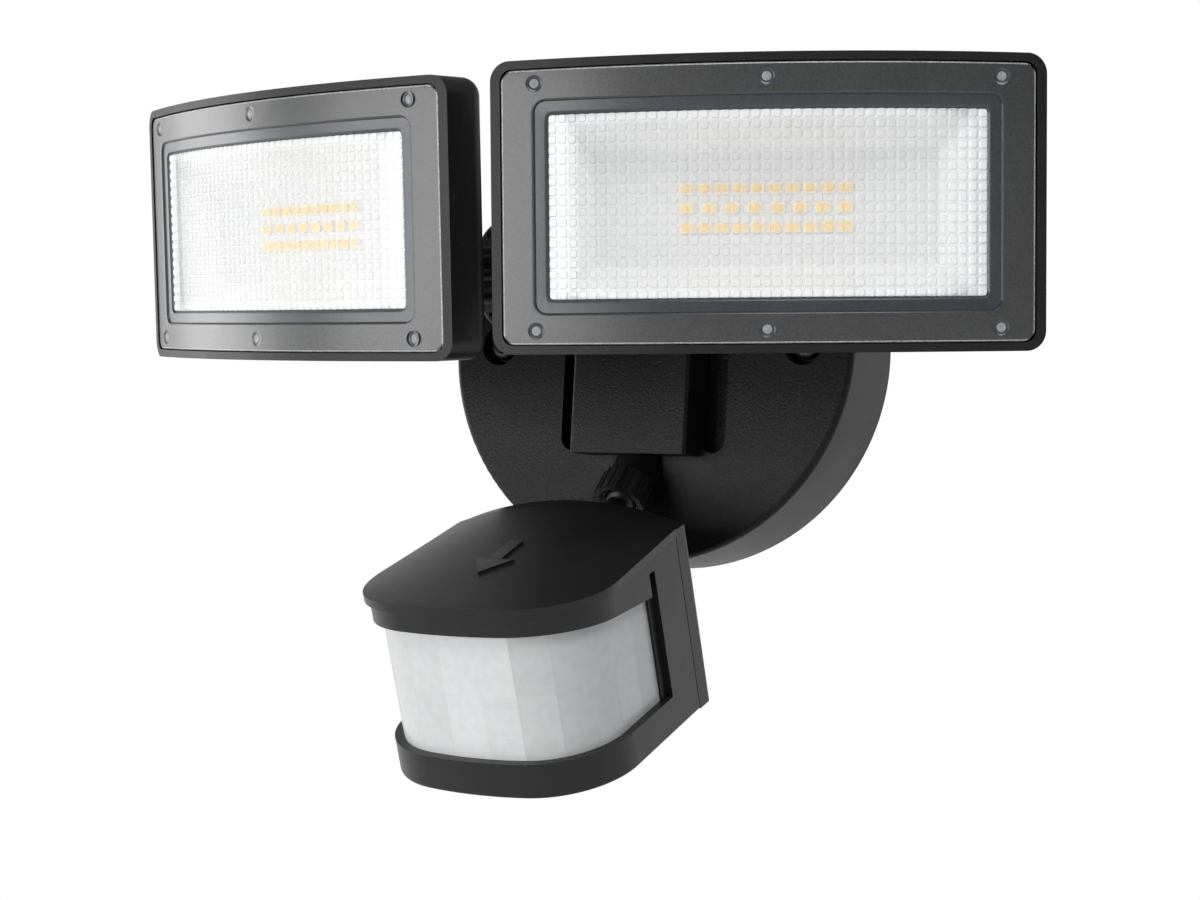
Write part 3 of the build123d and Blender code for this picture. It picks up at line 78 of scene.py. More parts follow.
# ---------------------------------------------------------------- sizes of what is modelled here, mm
# RIM_W and RIM_DEPTH bound the band along the cover's outer edge that carries the painted highlight.
COVER_WALL, RIM_W, RIM_DEPTH = 0.8, 0.5, 0.29
COLUMN_STEP = 4.0
PRISM_PITCH, CELL_RIM, CELL_CUT = 2.66, 0.2, 0.45
PAD_RIM, PAD_RISE = 0.35, 0.3
PANE_BACK, PANE_WALL, PANE_PLAY = 0.45, 0.9, 0.1
PIN_R, PIN_LENGTH, PIN_MIDDLE, PIN_ROUNDING = 1.35, 3.0, 1.6, 0.4
DIMPLE_R, DIMPLE_DEPTH, DIMPLE_LAP, PUNCH_DEPTH = 2.25, 1.2, 0.02, 6
DIMPLE_STEPS = ((0.15, -0.02), (0.3, -0.12), (0.35, -0.1))
LED_PITCH_X, LED_PITCH_Z = 4.7, 5.2
LED_BODY, LED_ROUNDING = (3.7, 0.8, 3.0), 0.15
DOT_R, DOT_THICK, DOT_AHEAD, DOT_ROUNDING = 1.15, 0.1, 0.84, 0.03
DOT_STRETCH = (1.38, 1, 1.1)
PANEL_W, PANEL_RIM, PANEL_SINK = 11.2, 0.1, 0.05
LENS_SEAMS = (0.16, 0.5)
LENS_LAP, LENS_TUCK, LENS_PLAY = 1.0, 1.5, 0.2
FRONT_CUTS, CORNER_CUTS, SIDE_CUTS = 8, 24, 6
ARROW_SHAFT, ARROW_POINT, ARROW_Y = (4.4, 12.0), (13.0, 9.5), -38.0
ARROW_PROUD, ARROW_ROOT, ARROW_ROUNDING = 0.8, 0.3, 0.35

# ---------------------------------------------------------------- numbers that the materials read
# Border tones: the step band, the smoky border, and a pale painted highlight along the cover's rolled outer
# edge.
TONE_STEP, TONE_BORDER, TONE_RIM_HIGHLIGHT = 0.0, 0.6, 1.0
SHEER_MIDDLE, SHEER_WALL, SHEER_EDGE, SHEER_MOST = 0.32, 0.08, 0.09, 0.86
EDGE_REACH_X, EDGE_REACH_Z = 9, 4.5
# Lens panel tones: the front columns carry painted light and shade, lightest in the middle and darkest to
# the right; the other columns are darker by a random amount, as painted shade; every panel also gets a
# little random spread of tone.
FRONT_PANEL_LIGHT_AND_SHADE = {-2: 0.76, -1: 0.8, 0: 0.98, 1: 0.94, 2: 0.5, 3: 0.36}
OTHER_PANEL_SHADE_RANGE = (0.25, 0.6)
PANEL_TONE_SPREAD = 0.07
BUMP_DISTANCE = 0.0004


def shift(x, y, z):
    return Matrix.Translation((x, y, z))


def turn(degrees, axis):
    return Matrix.Rotation(math.radians(degrees), 4, axis)


def head_place(side, tilt, pan):
    """Millimetres in a head's own frame to metres in the row frame. side is 1 right, -1 left."""
    pivot = shift(side * PIVOT_X, -PIVOT_AHEAD, PIVOT_RISE) @ turn(side * pan, "Z")
    return Matrix.Scale(MM, 4) @ shift(*HUB) @ turn(tilt, "X") @ pivot @ shift(0, -KNUCKLE_BACK, 0)


HEADS = {"right": head_place(1, RIGHT_TILT, RIGHT_PAN), "left": head_place(-1, LEFT_TILT, LEFT_PAN)}
SENSOR = (
    Matrix.Scale(MM, 4) @ shift(*BALL) @ turn(SENSOR_PAN, "Z") @ turn(SENSOR_TILT, "X")
    @ shift(0, -STEM_Y, -STEM_Z)
)


# ---------------------------------------------------------------- materials
def socket_group(name, inputs, outputs):
    """A new shader node group with named inputs and outputs, and its two end nodes."""
    group = bpy.data.node_groups.new(name, "ShaderNodeTree")
    for label, kind, value in inputs:
        socket = group.interface.new_socket(label, in_out="INPUT", socket_type=f"NodeSocket{kind}")
        socket.default_value = value
    for label, kind in outputs:
        group.interface.new_socket(label, in_out="OUTPUT", socket_type=f"NodeSocket{kind}")
    return group, group.nodes.new("NodeGroupInput"), group.nodes.new("NodeGroupOutput")


def node_in(tree, kind, **settings):
    """A new shader node with its settings."""
    made = tree.nodes.new(f"ShaderNode{kind}")
    for key, value in settings.items():
        setattr(made, key, value)
    return made


def maths(tree, operation, *terms, **settings):
    """Output of a math node over sockets and plain numbers."""
    made = node_in(tree, "Math", operation=operation, **settings)
    for place, term in enumerate(terms):
        if isinstance(term, (int, float)):
            made.inputs[place].default_value = term
        else:
            tree.links.new(term, made.inputs[place])
    return made.outputs[0]


def remap(tree, value, given, wanted=(0.0, 1.0)):
    """A value taken from one span to another, and held inside it."""
    made = node_in(tree, "MapRange")
    tree.links.new(value, made.inputs["Value"])
    for label, number in zip(("From Min", "From Max", "To Min", "To Max"), (*given, *wanted)):
        made.inputs[label].default_value = number
    return made.outputs["Result"]


def grain_group():
    """Fine moulded or sprayed grain: pebbles for the bump, slow drift for colour and gloss."""
    group, ends, out = socket_group(
        "moulded_grain",
        [("Colour", "Color", (0.03, 0.03, 0.03, 1)), ("Grain Size", "Float", 900.0),
         ("Drift", "Float", 0.15), ("Roughness", "Float", 0.45), ("Speckle", "Float", 0.2)],
        [("Colour", "Color"), ("Roughness", "Float"), ("Height", "Float")],
    )
    link = group.links.new
    place = node_in(group, "TexCoord")
    fine = node_in(group, "TexNoise")
    fine.inputs["Detail"].default_value = 3.0
    link(place.outputs["Object"], fine.inputs["Vector"])
    link(ends.outputs["Grain Size"], fine.inputs["Scale"])
    slow = node_in(group, "TexNoise")
    slow.inputs["Scale"].default_value = 28.0
    slow.inputs["Detail"].default_value = 4.0
    link(place.outputs["Object"], slow.inputs["Vector"])
    either_way = (-1.0, 1.0)
    patches = remap(group, slow.outputs["Fac"], (0.3, 0.7), either_way)
    drift = maths(group, "MULTIPLY", patches, ends.outputs["Drift"])
    bright = maths(group, "ADD", drift, 1.0)
    pebbles = remap(group, fine.outputs["Fac"], (0.35, 0.65), either_way)
    shade = maths(group, "MULTIPLY_ADD", pebbles, ends.outputs["Speckle"], bright)
    tint = node_in(group, "VectorMath", operation="SCALE")
    link(ends.outputs["Colour"], tint.inputs[0])
    link(shade, tint.inputs["Scale"])
    link(tint.outputs[0], out.inputs["Colour"])
    gloss_share = 0.35
    rough = maths(group, "MULTIPLY_ADD", drift, gloss_share, ends.outputs["Roughness"])
    link(rough, out.inputs["Roughness"])
    link(fine.outputs["Fac"], out.inputs["Height"])
    return group


def wear_group():
    """Handling marks and settled dust: small scuffs, and a paler film where a face looks up."""
    group, ends, out = socket_group(
        "scuffs_and_dust",
        [("Colour", "Color", (0.03, 0.03, 0.03, 1)), ("Dust Colour", "Color", (0.3, 0.29, 0.28, 1)),
         ("Dust", "Float", 0.04), ("Scuffs", "Float", 0.1)],
        [("Colour", "Color"), ("Mask", "Float")],
    )
    link = group.links.new
    place = node_in(group, "TexCoord")
    stretch = node_in(group, "Mapping")
    stretch.inputs["Scale"].default_value = (60.0, 60.0, 260.0)
    stretch.inputs["Rotation"].default_value = (0.3, 0.5, 0.2)
    link(place.outputs["Object"], stretch.inputs["Vector"])
    marks = node_in(group, "TexNoise")
    marks.inputs["Scale"].default_value = 2.2
    marks.inputs["Detail"].default_value = 5.0
    link(stretch.outputs[0], marks.inputs["Vector"])
    sharp = remap(group, marks.outputs["Fac"], (0.66, 0.8))
    scuff = maths(group, "MULTIPLY", sharp, ends.outputs["Scuffs"])
    facing = node_in(group, "NewGeometry")
    parts = node_in(group, "SeparateXYZ")
    link(facing.outputs["Normal"], parts.inputs[0])
    upward = remap(group, parts.outputs["Z"], (0.3, 1.0))
    film = maths(group, "MULTIPLY", upward, ends.outputs["Dust"])
    mask = maths(group, "ADD", scuff, film, use_clamp=True)
    blend = node_in(group, "Mix", data_type="RGBA")
    link(mask, blend.inputs["Factor"])
    link(ends.outputs["Colour"], blend.inputs["A"])
    link(ends.outputs["Dust Colour"], blend.inputs["B"])
    link(blend.outputs["Result"], out.inputs["Colour"])
    link(mask, out.inputs["Mask"])
    return group


GRAIN = grain_group()
WEAR = wear_group()


def finish_material(name, colour, roughness, grain=900.0, bump=0.05, drift=0.12, speckle=0.15,
                    dust=0.03, scuffs=0.08, metallic=0.0, coat=0.0, coat_rough=0.1, alpha=1.0,
                    specular=0.5):
    """A material with its own grain, drift, scuffs and dust over one Principled shader."""
    material = bpy.data.materials.new(name)
    material.use_nodes = True
    tree = material.node_tree
    shader = tree.nodes["Principled BSDF"]
    link = tree.links.new
    grained = node_in(tree, "Group", node_tree=GRAIN)
    grained.inputs["Colour"].default_value = (*colour, 1)
    grained.inputs["Grain Size"].default_value = grain
    grained.inputs["Drift"].default_value = drift
    grained.inputs["Speckle"].default_value = speckle
    grained.inputs["Roughness"].default_value = roughness
    worn = node_in(tree, "Group", node_tree=WEAR)
    link(grained.outputs["Colour"], worn.inputs["Colour"])
    worn.inputs["Dust"].default_value = dust
    worn.inputs["Scuffs"].default_value = scuffs
    link(worn.outputs["Colour"], shader.inputs["Base Color"])
    link(grained.outputs["Roughness"], shader.inputs["Roughness"])
    if bump:
        raised = node_in(tree, "Bump")
        raised.inputs["Strength"].default_value = bump
        raised.inputs["Distance"].default_value = BUMP_DISTANCE
        link(grained.outputs["Height"], raised.inputs["Height"])
        link(raised.outputs["Normal"], shader.inputs["Normal"])
    shader.inputs["Metallic"].default_value = metallic
    shader.inputs["Coat Weight"].default_value = coat
    shader.inputs["Coat Roughness"].default_value = coat_rough
    shader.inputs["Alpha"].default_value = alpha
    shader.inputs["Specular IOR Level"].default_value = specular
    return material


powder_black = finish_material(
    "satin_powder_black", (0.006, 0.006, 0.0064), 0.42, grain=1500, bump=0.3, speckle=0.4, specular=0.17
)
head_black = finish_material(
    "satin_head_black", (0.0055, 0.0055, 0.0058), 0.42, grain=1400, bump=0.15, speckle=0.25, specular=0.28
)
moulded_black = finish_material(
    "moulded_sensor_black", (0.0055, 0.0055, 0.006), 0.34, grain=1100, bump=0.1, speckle=0.2, specular=0.34
)
polished_black = finish_material(
    "polished_raised_black", (0.006, 0.006, 0.0064), 0.24, grain=900, bump=0.03, speckle=0.15, specular=0.45
)
smoky_border = finish_material(
    "smoky_cover_border", (0.045, 0.046, 0.049), 0.36, grain=1500, bump=0.12, speckle=0.3,
    scuffs=0.03, specular=0.5, coat=0.55, coat_rough=0.3,
)
window_prism = finish_material(
    "prismatic_window", (0.95, 0.955, 0.96), 0.2, grain=500, bump=0.0, drift=0.02, speckle=0.02,
    dust=0.0, scuffs=0.0, alpha=0.22,
)
tray_white = finish_material(
    "reflector_white", (0.92, 0.92, 0.915), 0.42, bump=0.02, drift=0.03, speckle=0.02, scuffs=0.03
)
board_white = finish_material(
    "white_solder_mask", (0.76, 0.765, 0.75), 0.5, grain=700, bump=0.02, drift=0.03, speckle=0.03
)
phosphor = finish_material(
    "warm_phosphor", (1.0, 0.64, 0.09), 0.45, grain=2500, bump=0.1, drift=0.05, speckle=0.06,
    dust=0, scuffs=0,
)
led_ceramic = finish_material(
    "led_package_cream", (1.0, 0.86, 0.6), 0.4, grain=2000, bump=0.02, drift=0.02, speckle=0.02,
    dust=0, scuffs=0,
)
milky = finish_material(
    "milky_sensor_lens", (0.66, 0.665, 0.67), 0.34, grain=400, bump=0.02, drift=0.04, speckle=0.03,
    dust=0.0, scuffs=0.02, coat=0.3, coat_rough=0.12,
)
pin_pale = finish_material(
    "pale_cover_pin", (0.27, 0.273, 0.28), 0.45, bump=0.03, scuffs=0.05, specular=0.3
)
oxide = finish_material(
    "black_oxide_screw", (0.03, 0.03, 0.032), 0.35, grain=800, bump=0.05, metallic=0.7, scuffs=0.2
)
zinc = finish_material(
    "zinc_plate", (0.52, 0.53, 0.55), 0.3, grain=500, bump=0.05, drift=0.1, metallic=1.0, scuffs=0.12
)
rubber = finish_material("soft_gasket_rubber", (0.01, 0.01, 0.01), 0.75, grain=600, bump=0.1, scuffs=0.02)
green_mask = finish_material("green_solder_mask", (0.01, 0.09, 0.03), 0.3, grain=300, bump=0.03, drift=0.2)
nylon = finish_material("white_nylon", (0.62, 0.62, 0.6), 0.45, bump=0.03)
driver_case = finish_material("driver_case_black", (0.012, 0.012, 0.013), 0.5, grain=900, bump=0.12)


def colour_by_mark(material, mark, stops, alpha_mark=""):
    """Colour a material by a number kept on each face, through (number, colour) stops.

    The alpha may follow another such number.
    """
    tree = material.node_tree
    kept = node_in(tree, "Attribute", attribute_name=mark)
    shades = node_in(tree, "ValToRGB")
    for place, (number, colour) in enumerate(stops):
        if place >= 2:
            shades.color_ramp.elements.new(number)
        shades.color_ramp.elements[place].position = number
        shades.color_ramp.elements[place].color = (*colour, 1)
    tree.links.new(kept.outputs["Fac"], shades.inputs["Fac"])
    groups = [node for node in tree.nodes if node.bl_idname == "ShaderNodeGroup"]
    grained = next(node for node in groups if node.node_tree == GRAIN)
    tree.links.new(shades.outputs["Color"], grained.inputs["Colour"])
    if alpha_mark:
        sheer = node_in(tree, "Attribute", attribute_name=alpha_mark)
        tree.links.new(sheer.outputs["Fac"], tree.nodes["Principled BSDF"].inputs["Alpha"])


# The lens's panel tones are partly painted light and shade, partly random tone.
colour_by_mark(milky, "panel_tone", [(0, (0.39, 0.396, 0.395)), (1, (0.63, 0.633, 0.632))])
# The last stop is a painted highlight on the rolled outer edge of the cover.
colour_by_mark(
    smoky_border, "border_tone",
    [(TONE_STEP, (0.016, 0.02, 0.029)), (TONE_BORDER, (0.024, 0.0243, 0.0248)),
     (TONE_RIM_HIGHLIGHT, (0.36, 0.36, 0.365))],
)
# The cells' walls are painted a darker grey than the pads: painted shade in the grooves of the prism grid.
colour_by_mark(
    window_prism, "cell_wall_shade", [(0, (0.96, 0.962, 0.963)), (1, (0.87, 0.875, 0.878))],
    alpha_mark="cell_alpha",
)

NODE_FINISH = {
    "black_casting": powder_black, "black_plastic": moulded_black, "clear_cover": smoky_border,
    "milky_lens": milky, "white_plastic": tray_white, "white_board": board_white,
    "green_board": green_mask, "led_phosphor": phosphor, "rubber_seal": rubber,
    "steel_hardware": zinc, "dark_hardware": oxide,
}


# ---------------------------------------------------------------- helpers for pieces
def deselect():
    if bpy.context.object and bpy.context.object.mode != "OBJECT":
        bpy.ops.object.mode_set(mode="OBJECT")
    bpy.ops.object.select_all(action="DESELECT")


def activate(piece):
    deselect()
    piece.select_set(True)
    bpy.context.view_layer.objects.active = piece


def edit(piece, select="SELECT"):
    """Open a piece for editing with all of it selected, or none."""
    activate(piece)
    bpy.ops.object.mode_set(mode="EDIT")
    bpy.ops.mesh.select_mode(type="VERT")
    bpy.ops.mesh.select_all(action=select)


def done():
    bpy.ops.object.mode_set(mode="OBJECT")


def pick(piece, wanted):
    """Open a piece for editing with just the faces selected that pass the test."""
    edit(piece, "DESELECT")
    bpy.ops.mesh.select_mode(type="FACE")
    done()
    for face in piece.data.polygons:
        face.select = wanted(face)
    bpy.ops.object.mode_set(mode="EDIT")


def mark_faces(piece, name, value):
    """Keep a number on every face of a piece, for its material to read."""
    layer = piece.data.attributes.new(name, "FLOAT", "FACE")
    for face in piece.data.polygons:
        layer.data[face.index].value = value(face)


def apply_all(piece):
    """Apply a piece's modifiers, in their order."""
    activate(piece)
    for modifier in list(piece.modifiers):
        bpy.ops.object.modifier_apply(modifier=modifier.name)


def settle(piece, name, place, material, body, replaced=(), smooth=35):
    activate(piece)
    bpy.ops.object.transform_apply(location=True, rotation=True, scale=True)
    piece.data.transform(place)
    piece.name = name
    piece.data.name = name
    piece.data.materials.clear()
    piece.data.materials.append(material)
    bpy.ops.object.shade_smooth_by_angle(angle=math.radians(smooth))
    even = piece.modifiers.new("even_shading", "WEIGHTED_NORMAL")
    even.keep_sharp = True
    apply_all(piece)
    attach(piece, body)
    for node in replaced:
        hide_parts(node)
    return piece


def outward(piece):
    """Close a piece's seams and turn its normals outwards."""
    edit(piece)
    bpy.ops.mesh.remove_doubles(threshold=0.0005)
    bpy.ops.mesh.normals_make_consistent(inside=False)
    done()


def face_towards(piece, way):
    """Turn an open sheet so that its faces look the given way on the whole."""
    outward(piece)
    if sum(face.normal.dot(Vector(way)) * face.area for face in piece.data.polygons) < 0:
        edit(piece)
        bpy.ops.mesh.flip_normals()
        done()


def dress(node, material):
    """A merged skin on a CAD node's own shape, in its place, shaded by the solid's own normals."""
    source = nodes[node]
    skin = source.copy()
    skin.data = source.data.copy()
    bpy.context.scene.collection.objects.link(skin)
    skin.parent = None
    skin.matrix_world = Matrix.Identity(4)
    skin.name = f"{node}_skin"
    kept = skin.data.attributes.new("solid_normal", "FLOAT_VECTOR", "CORNER")
    for corner, normal in zip(kept.data, skin.data.corner_normals):
        corner.vector = normal.vector
    edit(skin)
    bpy.ops.mesh.remove_doubles(threshold=1e-7)
    done()
    bpy.ops.object.shade_smooth()
    kept = skin.data.attributes["solid_normal"]
    skin.data.normals_split_custom_set([tuple(corner.vector) for corner in kept.data])
    skin.data.attributes.remove(skin.data.attributes["solid_normal"])
    skin.data.materials.clear()
    skin.data.materials.append(material)
    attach(skin, body_of_node[node])
    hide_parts(node)
    return skin


def bow_depth(x):
    """How far the bowed front has fallen back at x."""
    return HEAD_FRONT_R - math.sqrt(HEAD_FRONT_R ** 2 - x * x)


def bend_to_front(piece):
    """Lay a flat piece on the head's bowed front."""
    for vertex in piece.data.vertices:
        vertex.co.y += bow_depth(vertex.co.x)


def thicken_inwards(piece, thickness):
    """Give an open sheet its wall, behind the side that it faces."""
    wall = piece.modifiers.new("wall", "SOLIDIFY")
    wall.thickness = thickness
    wall.offset = -1
    apply_all(piece)


def cylinder_ahead(radius, depth, y=0.0, vertices=32):
    """A cylinder that lies along Y."""
    deselect()
    bpy.ops.mesh.primitive_cylinder_add(
        vertices=vertices, radius=radius, depth=depth, location=(0, y, 0), rotation=(math.pi / 2, 0, 0)
    )
    bpy.ops.object.transform_apply(location=True, rotation=True, scale=True)
    return bpy.context.object


def slice_columns(piece, half, step):
    """Cut a flat piece into columns, so that it can follow a curve."""
    edit(piece)
    x = -half
    while x < half:
        bpy.ops.mesh.select_all(action="SELECT")
        bpy.ops.mesh.bisect(plane_co=(x, 0, 0), plane_no=(1, 0, 0))
        x += step
    done()


def joined(pieces):
    """One object out of several."""
    deselect()
    for piece in pieces:
        piece.select_set(True)
    bpy.context.view_layer.objects.active = pieces[0]
    bpy.ops.object.join()
    return bpy.context.object


def rounded_rim(width, height, corner, depth):
    """Edge loop of a rectangle with rounded corners: a plane with bevelled corners, without its face."""
    deselect()
    bpy.ops.mesh.primitive_plane_add(size=1, location=(0, depth, 0), rotation=(math.pi / 2, 0, 0))
    rim = bpy.context.object
    rim.scale = (width, height, 1)
    bpy.ops.object.transform_apply(location=True, rotation=True, scale=True)
    edit(rim)
    bpy.ops.mesh.bevel(offset=corner, segments=8, affect="VERTICES")
    bpy.ops.mesh.delete(type="ONLY_FACE")
    done()
    return rim


def terrace(sizes):
    """Ring surface bridged through rounded rims: (width, height, corner, depth) from the edge inwards."""
    apart = 10.0
    plate = joined([
        rounded_rim(width, height, corner, apart * place)
        for place, (width, height, corner, depth) in enumerate(sizes)
    ])
    edit(plate)
    bpy.ops.mesh.bridge_edge_loops(type="SINGLE")
    done()
    for vertex in plate.data.vertices:
        vertex.co.y = sizes[round(vertex.co.y / apart)][3]
    slice_columns(plate, sizes[0][0] / 2, COLUMN_STEP)
    face_towards(plate, (0, -1, 0))
    return plate


# ---------------------------------------------------------------- flood heads
def head_cover(side):
    """Moulded cover: a satin border with a rolled edge, stepping down to the window."""
    step = WINDOW_SET * 0.55
    plate = terrace([
        (COVER_W, COVER_H, COVER_CORNER, 1.2),
        (COVER_W, COVER_H, COVER_CORNER, 0.3),
        (COVER_W - 0.3, COVER_H - 0.3, COVER_CORNER - 0.1, 0.1),
        (COVER_W - 0.9, COVER_H - 0.9, COVER_CORNER - 0.3, 0.0),
        (PANE_W + 1.2, PANE_H + 1.2, 3.6, 0.0),
        (PANE_W + 0.5, PANE_H + 0.5, 3.3, 0.12),
        (PANE_W, PANE_H, 3.0, 0.45),
        (PANE_W - 0.4, PANE_H - 0.4, 2.8, step),
        (WINDOW_W + 1.4, WINDOW_H + 1.4, 2.3, step + 0.1),
        (WINDOW_W + 0.6, WINDOW_H + 0.6, 2.0, step + 0.25),
        (WINDOW_W + 0.1, WINDOW_H + 0.1, WINDOW_CORNER, WINDOW_SET),
        (WINDOW_W - 1.0, WINDOW_H - 1.0, WINDOW_CORNER, WINDOW_SET + 0.5),
    ])

    def tone_of(face):
        x, z = abs(face.center.x), abs(face.center.z)
        # Faces on the front of the rolled outer edge get the pale painted highlight tone.
        if face.center.y < RIM_DEPTH and (x > COVER_W / 2 - RIM_W or z > COVER_H / 2 - RIM_W):
            return TONE_RIM_HIGHLIGHT
        return TONE_STEP if x < PANE_W / 2 and z < PANE_H / 2 else TONE_BORDER

    mark_faces(plate, "border_tone", tone_of)
    for vertex in plate.data.vertices:
        vertex.co.y += COVER_SET
    bend_to_front(plate)
    thicken_inwards(plate, COVER_WALL)
    punches = copy_at(cylinder_ahead(DIMPLE_R, PUNCH_DEPTH), pin_places())
    holes = plate.modifiers.new("dimple_holes", "BOOLEAN")
    holes.object = punches
    apply_all(plate)
    bpy.data.objects.remove(punches)
    return settle(
        plate, f"{side}_cover_border", HEADS[side], smoky_border, f"{side}_head",
        [f"{side}_lens_cover"],
    )


def head_window(side):
    """Window with its grid of small prisms: a raised eight-sided pad in each cell."""
    deselect()
    columns = round(WINDOW_W / PRISM_PITCH)
    rows = round(WINDOW_H / PRISM_PITCH)
    bpy.ops.mesh.primitive_grid_add(
        x_subdivisions=columns, y_subdivisions=rows, size=1, rotation=(math.pi / 2, 0, 0)
    )
    pane = bpy.context.object
    pane.scale = (WINDOW_W - PANE_PLAY, WINDOW_H - PANE_PLAY, 1)
    bpy.ops.object.transform_apply(location=True, rotation=True, scale=True)
    edit(pane)
    bpy.ops.mesh.select_mode(type="FACE")
    bpy.ops.mesh.inset(thickness=CELL_RIM, use_individual=True)
    bpy.ops.mesh.bevel(offset=CELL_CUT, affect="VERTICES")
    done()
    pick(pane, lambda face: len(face.vertices) == 8)
    bpy.ops.mesh.inset(thickness=PAD_RIM, depth=PAD_RISE, use_individual=True)
    done()
    pads = {face.index for face in pane.data.polygons if face.select}
    # Wall faces are marked for the darker painted shade; the pads keep the pale colour.
    mark_faces(pane, "cell_wall_shade", lambda face: 0.0 if face.index in pads else 1.0)

    def sheerness(face):
        """More closed on the cells' walls and towards the window's edge."""
        wall = 0.0 if face.index in pads else SHEER_WALL
        reach = max(
            abs(face.center.x) - WINDOW_W / 2 + EDGE_REACH_X,
            abs(face.center.z) - WINDOW_H / 2 + EDGE_REACH_Z, 0,
        )
        return min(SHEER_MOST, SHEER_MIDDLE + wall + SHEER_EDGE * reach)

    mark_faces(pane, "cell_alpha", sheerness)
    for vertex in pane.data.vertices:
        vertex.co.y += COVER_SET + WINDOW_SET + PANE_BACK
    bend_to_front(pane)
    thicken_inwards(pane, PANE_WALL)
    outward(pane)
    for face, mark in zip(pane.data.polygons, pane.data.attributes["cell_alpha"].data):
        faces_the_boards = face.normal.y > 0.3
        if faces_the_boards:
            mark.value = 0.0
    return settle(
        pane, f"{side}_window_prisms", HEADS[side], window_prism, f"{side}_head",
        [f"{side}_lens_cover"], smooth=10,
    )


def pin_places():
    """Middles of the cover pins on the bowed front."""
    return [(x, COVER_SET + bow_depth(x), z) for x, z in PINS]


def copy_at(piece, places):
    """Copies of a modelled piece, each with its own mesh, joined into one."""
    copies = []
    for place in places:
        one = piece.copy()
        one.data = piece.data.copy()
        bpy.context.scene.collection.objects.link(one)
        one.data.transform(Matrix.Translation(place))
        copies.append(one)
    bpy.data.objects.remove(piece)
    return joined(copies)


def led_places():
    """Middles of the LEDs: rows of equal length, closer where a row has more."""
    row_length = LED_PITCH_X * (LED_ROWS[0] - 1)
    return [
        (row_length * (index / (count - 1) - 0.5), LED_FRONT, (1 - row) * LED_PITCH_Z)
        for row, count in enumerate(LED_ROWS) for index in range(count)
    ]


def head_leds(side):
    """LED packages: a pale body with an oval of phosphor on its front."""
    deselect()
    bpy.ops.mesh.primitive_cube_add(size=1, location=(0, -LED_BODY[1] / 2, 0))
    body = bpy.context.object
    body.scale = LED_BODY
    bpy.ops.object.transform_apply(location=True, rotation=True, scale=True)
    edit(body)
    bpy.ops.mesh.bevel(offset=LED_ROUNDING, segments=2, affect="EDGES")
    done()
    bodies = copy_at(body, led_places())
    settle(
        bodies, f"{side}_led_packages", HEADS[side], led_ceramic, f"{side}_head",
        [f"{side}_leds"],
    )
    dot = cylinder_ahead(DOT_R, DOT_THICK, -DOT_AHEAD, vertices=24)
    edit(dot)
    bpy.ops.transform.resize(value=DOT_STRETCH)
    bpy.ops.mesh.bevel(offset=DOT_ROUNDING, segments=1, affect="EDGES")
    done()
    dots = copy_at(dot, led_places())
    settle(
        dots, f"{side}_led_phosphor", HEADS[side], phosphor, f"{side}_head",
        [f"{side}_leds"],
    )


def head_pins(side):
    """Cover pins: a low domed head in the middle of a dished dimple."""
    pin = cylinder_ahead(PIN_R, PIN_LENGTH, PIN_MIDDLE)
    edit(pin)
    bpy.ops.mesh.bevel(offset=PIN_ROUNDING, segments=4, affect="EDGES")
    done()
    pins = copy_at(pin, pin_places())
    settle(
        pins, f"{side}_pins", HEADS[side], pin_pale, f"{side}_head",
        [f"{side}_cover_pins"], smooth=50,
    )
    dish = cylinder_ahead(DIMPLE_R + DIMPLE_LAP, DIMPLE_DEPTH, DIMPLE_DEPTH / 2)
    pick(dish, lambda face: face.normal.y < -0.9)
    for rim, drop in DIMPLE_STEPS:
        bpy.ops.mesh.inset(thickness=rim, depth=drop)
    done()
    dishes = copy_at(dish, pin_places())
    settle(
        dishes, f"{side}_pin_dimples", HEADS[side], smoky_border, f"{side}_head",
        [f"{side}_cover_pins"], smooth=50,
    )


for side in ("right", "left"):
    head_cover(side)
    head_window(side)
    head_leds(side)
    head_pins(side)


# ---------------------------------------------------------------- sensor
def lens_path():
    """The lens's plan outline: radii, arc middles, and the angles at which one runs into the next."""
    half = SENSOR_HALF_W - LENS_INSET
    back = SENSOR_BACK_HALF_W - BODY_INSET * BACK_INSET - (LENS_INSET - BODY_INSET)
    front_r = SENSOR_FRONT_R - LENS_INSET
    corner = SENSOR_CORNER_R - LENS_INSET
    turn_x = half - corner
    reach = math.sqrt((front_r - corner) ** 2 - turn_x ** 2)
    front_y = front_r - (SENSOR_DEPTH - LENS_INSET)
    turn_y = front_y - reach
    start = math.atan2(turn_x, reach)
    end = math.pi / 2 + math.atan2(half - back, -turn_y)
    return front_r, front_y, corner, turn_x, turn_y, start, end, back


def run_along(x, y):
    """Distance along the lens from its middle to the point at x, y."""
    front_r, front_y, corner, turn_x, turn_y, start, end, back = lens_path()
    x = abs(x)
    around = math.atan2(x - turn_x, turn_y - y)
    if math.atan2(x, front_y - y) <= start:
        return front_r * math.atan2(x, front_y - y)
    if around <= end and y < turn_y + corner * 0.2:
        return front_r * start + corner * (around - start)
    side_y = turn_y - corner * math.cos(end)
    return front_r * start + corner * (end - start) + max(0.0, y - side_y)


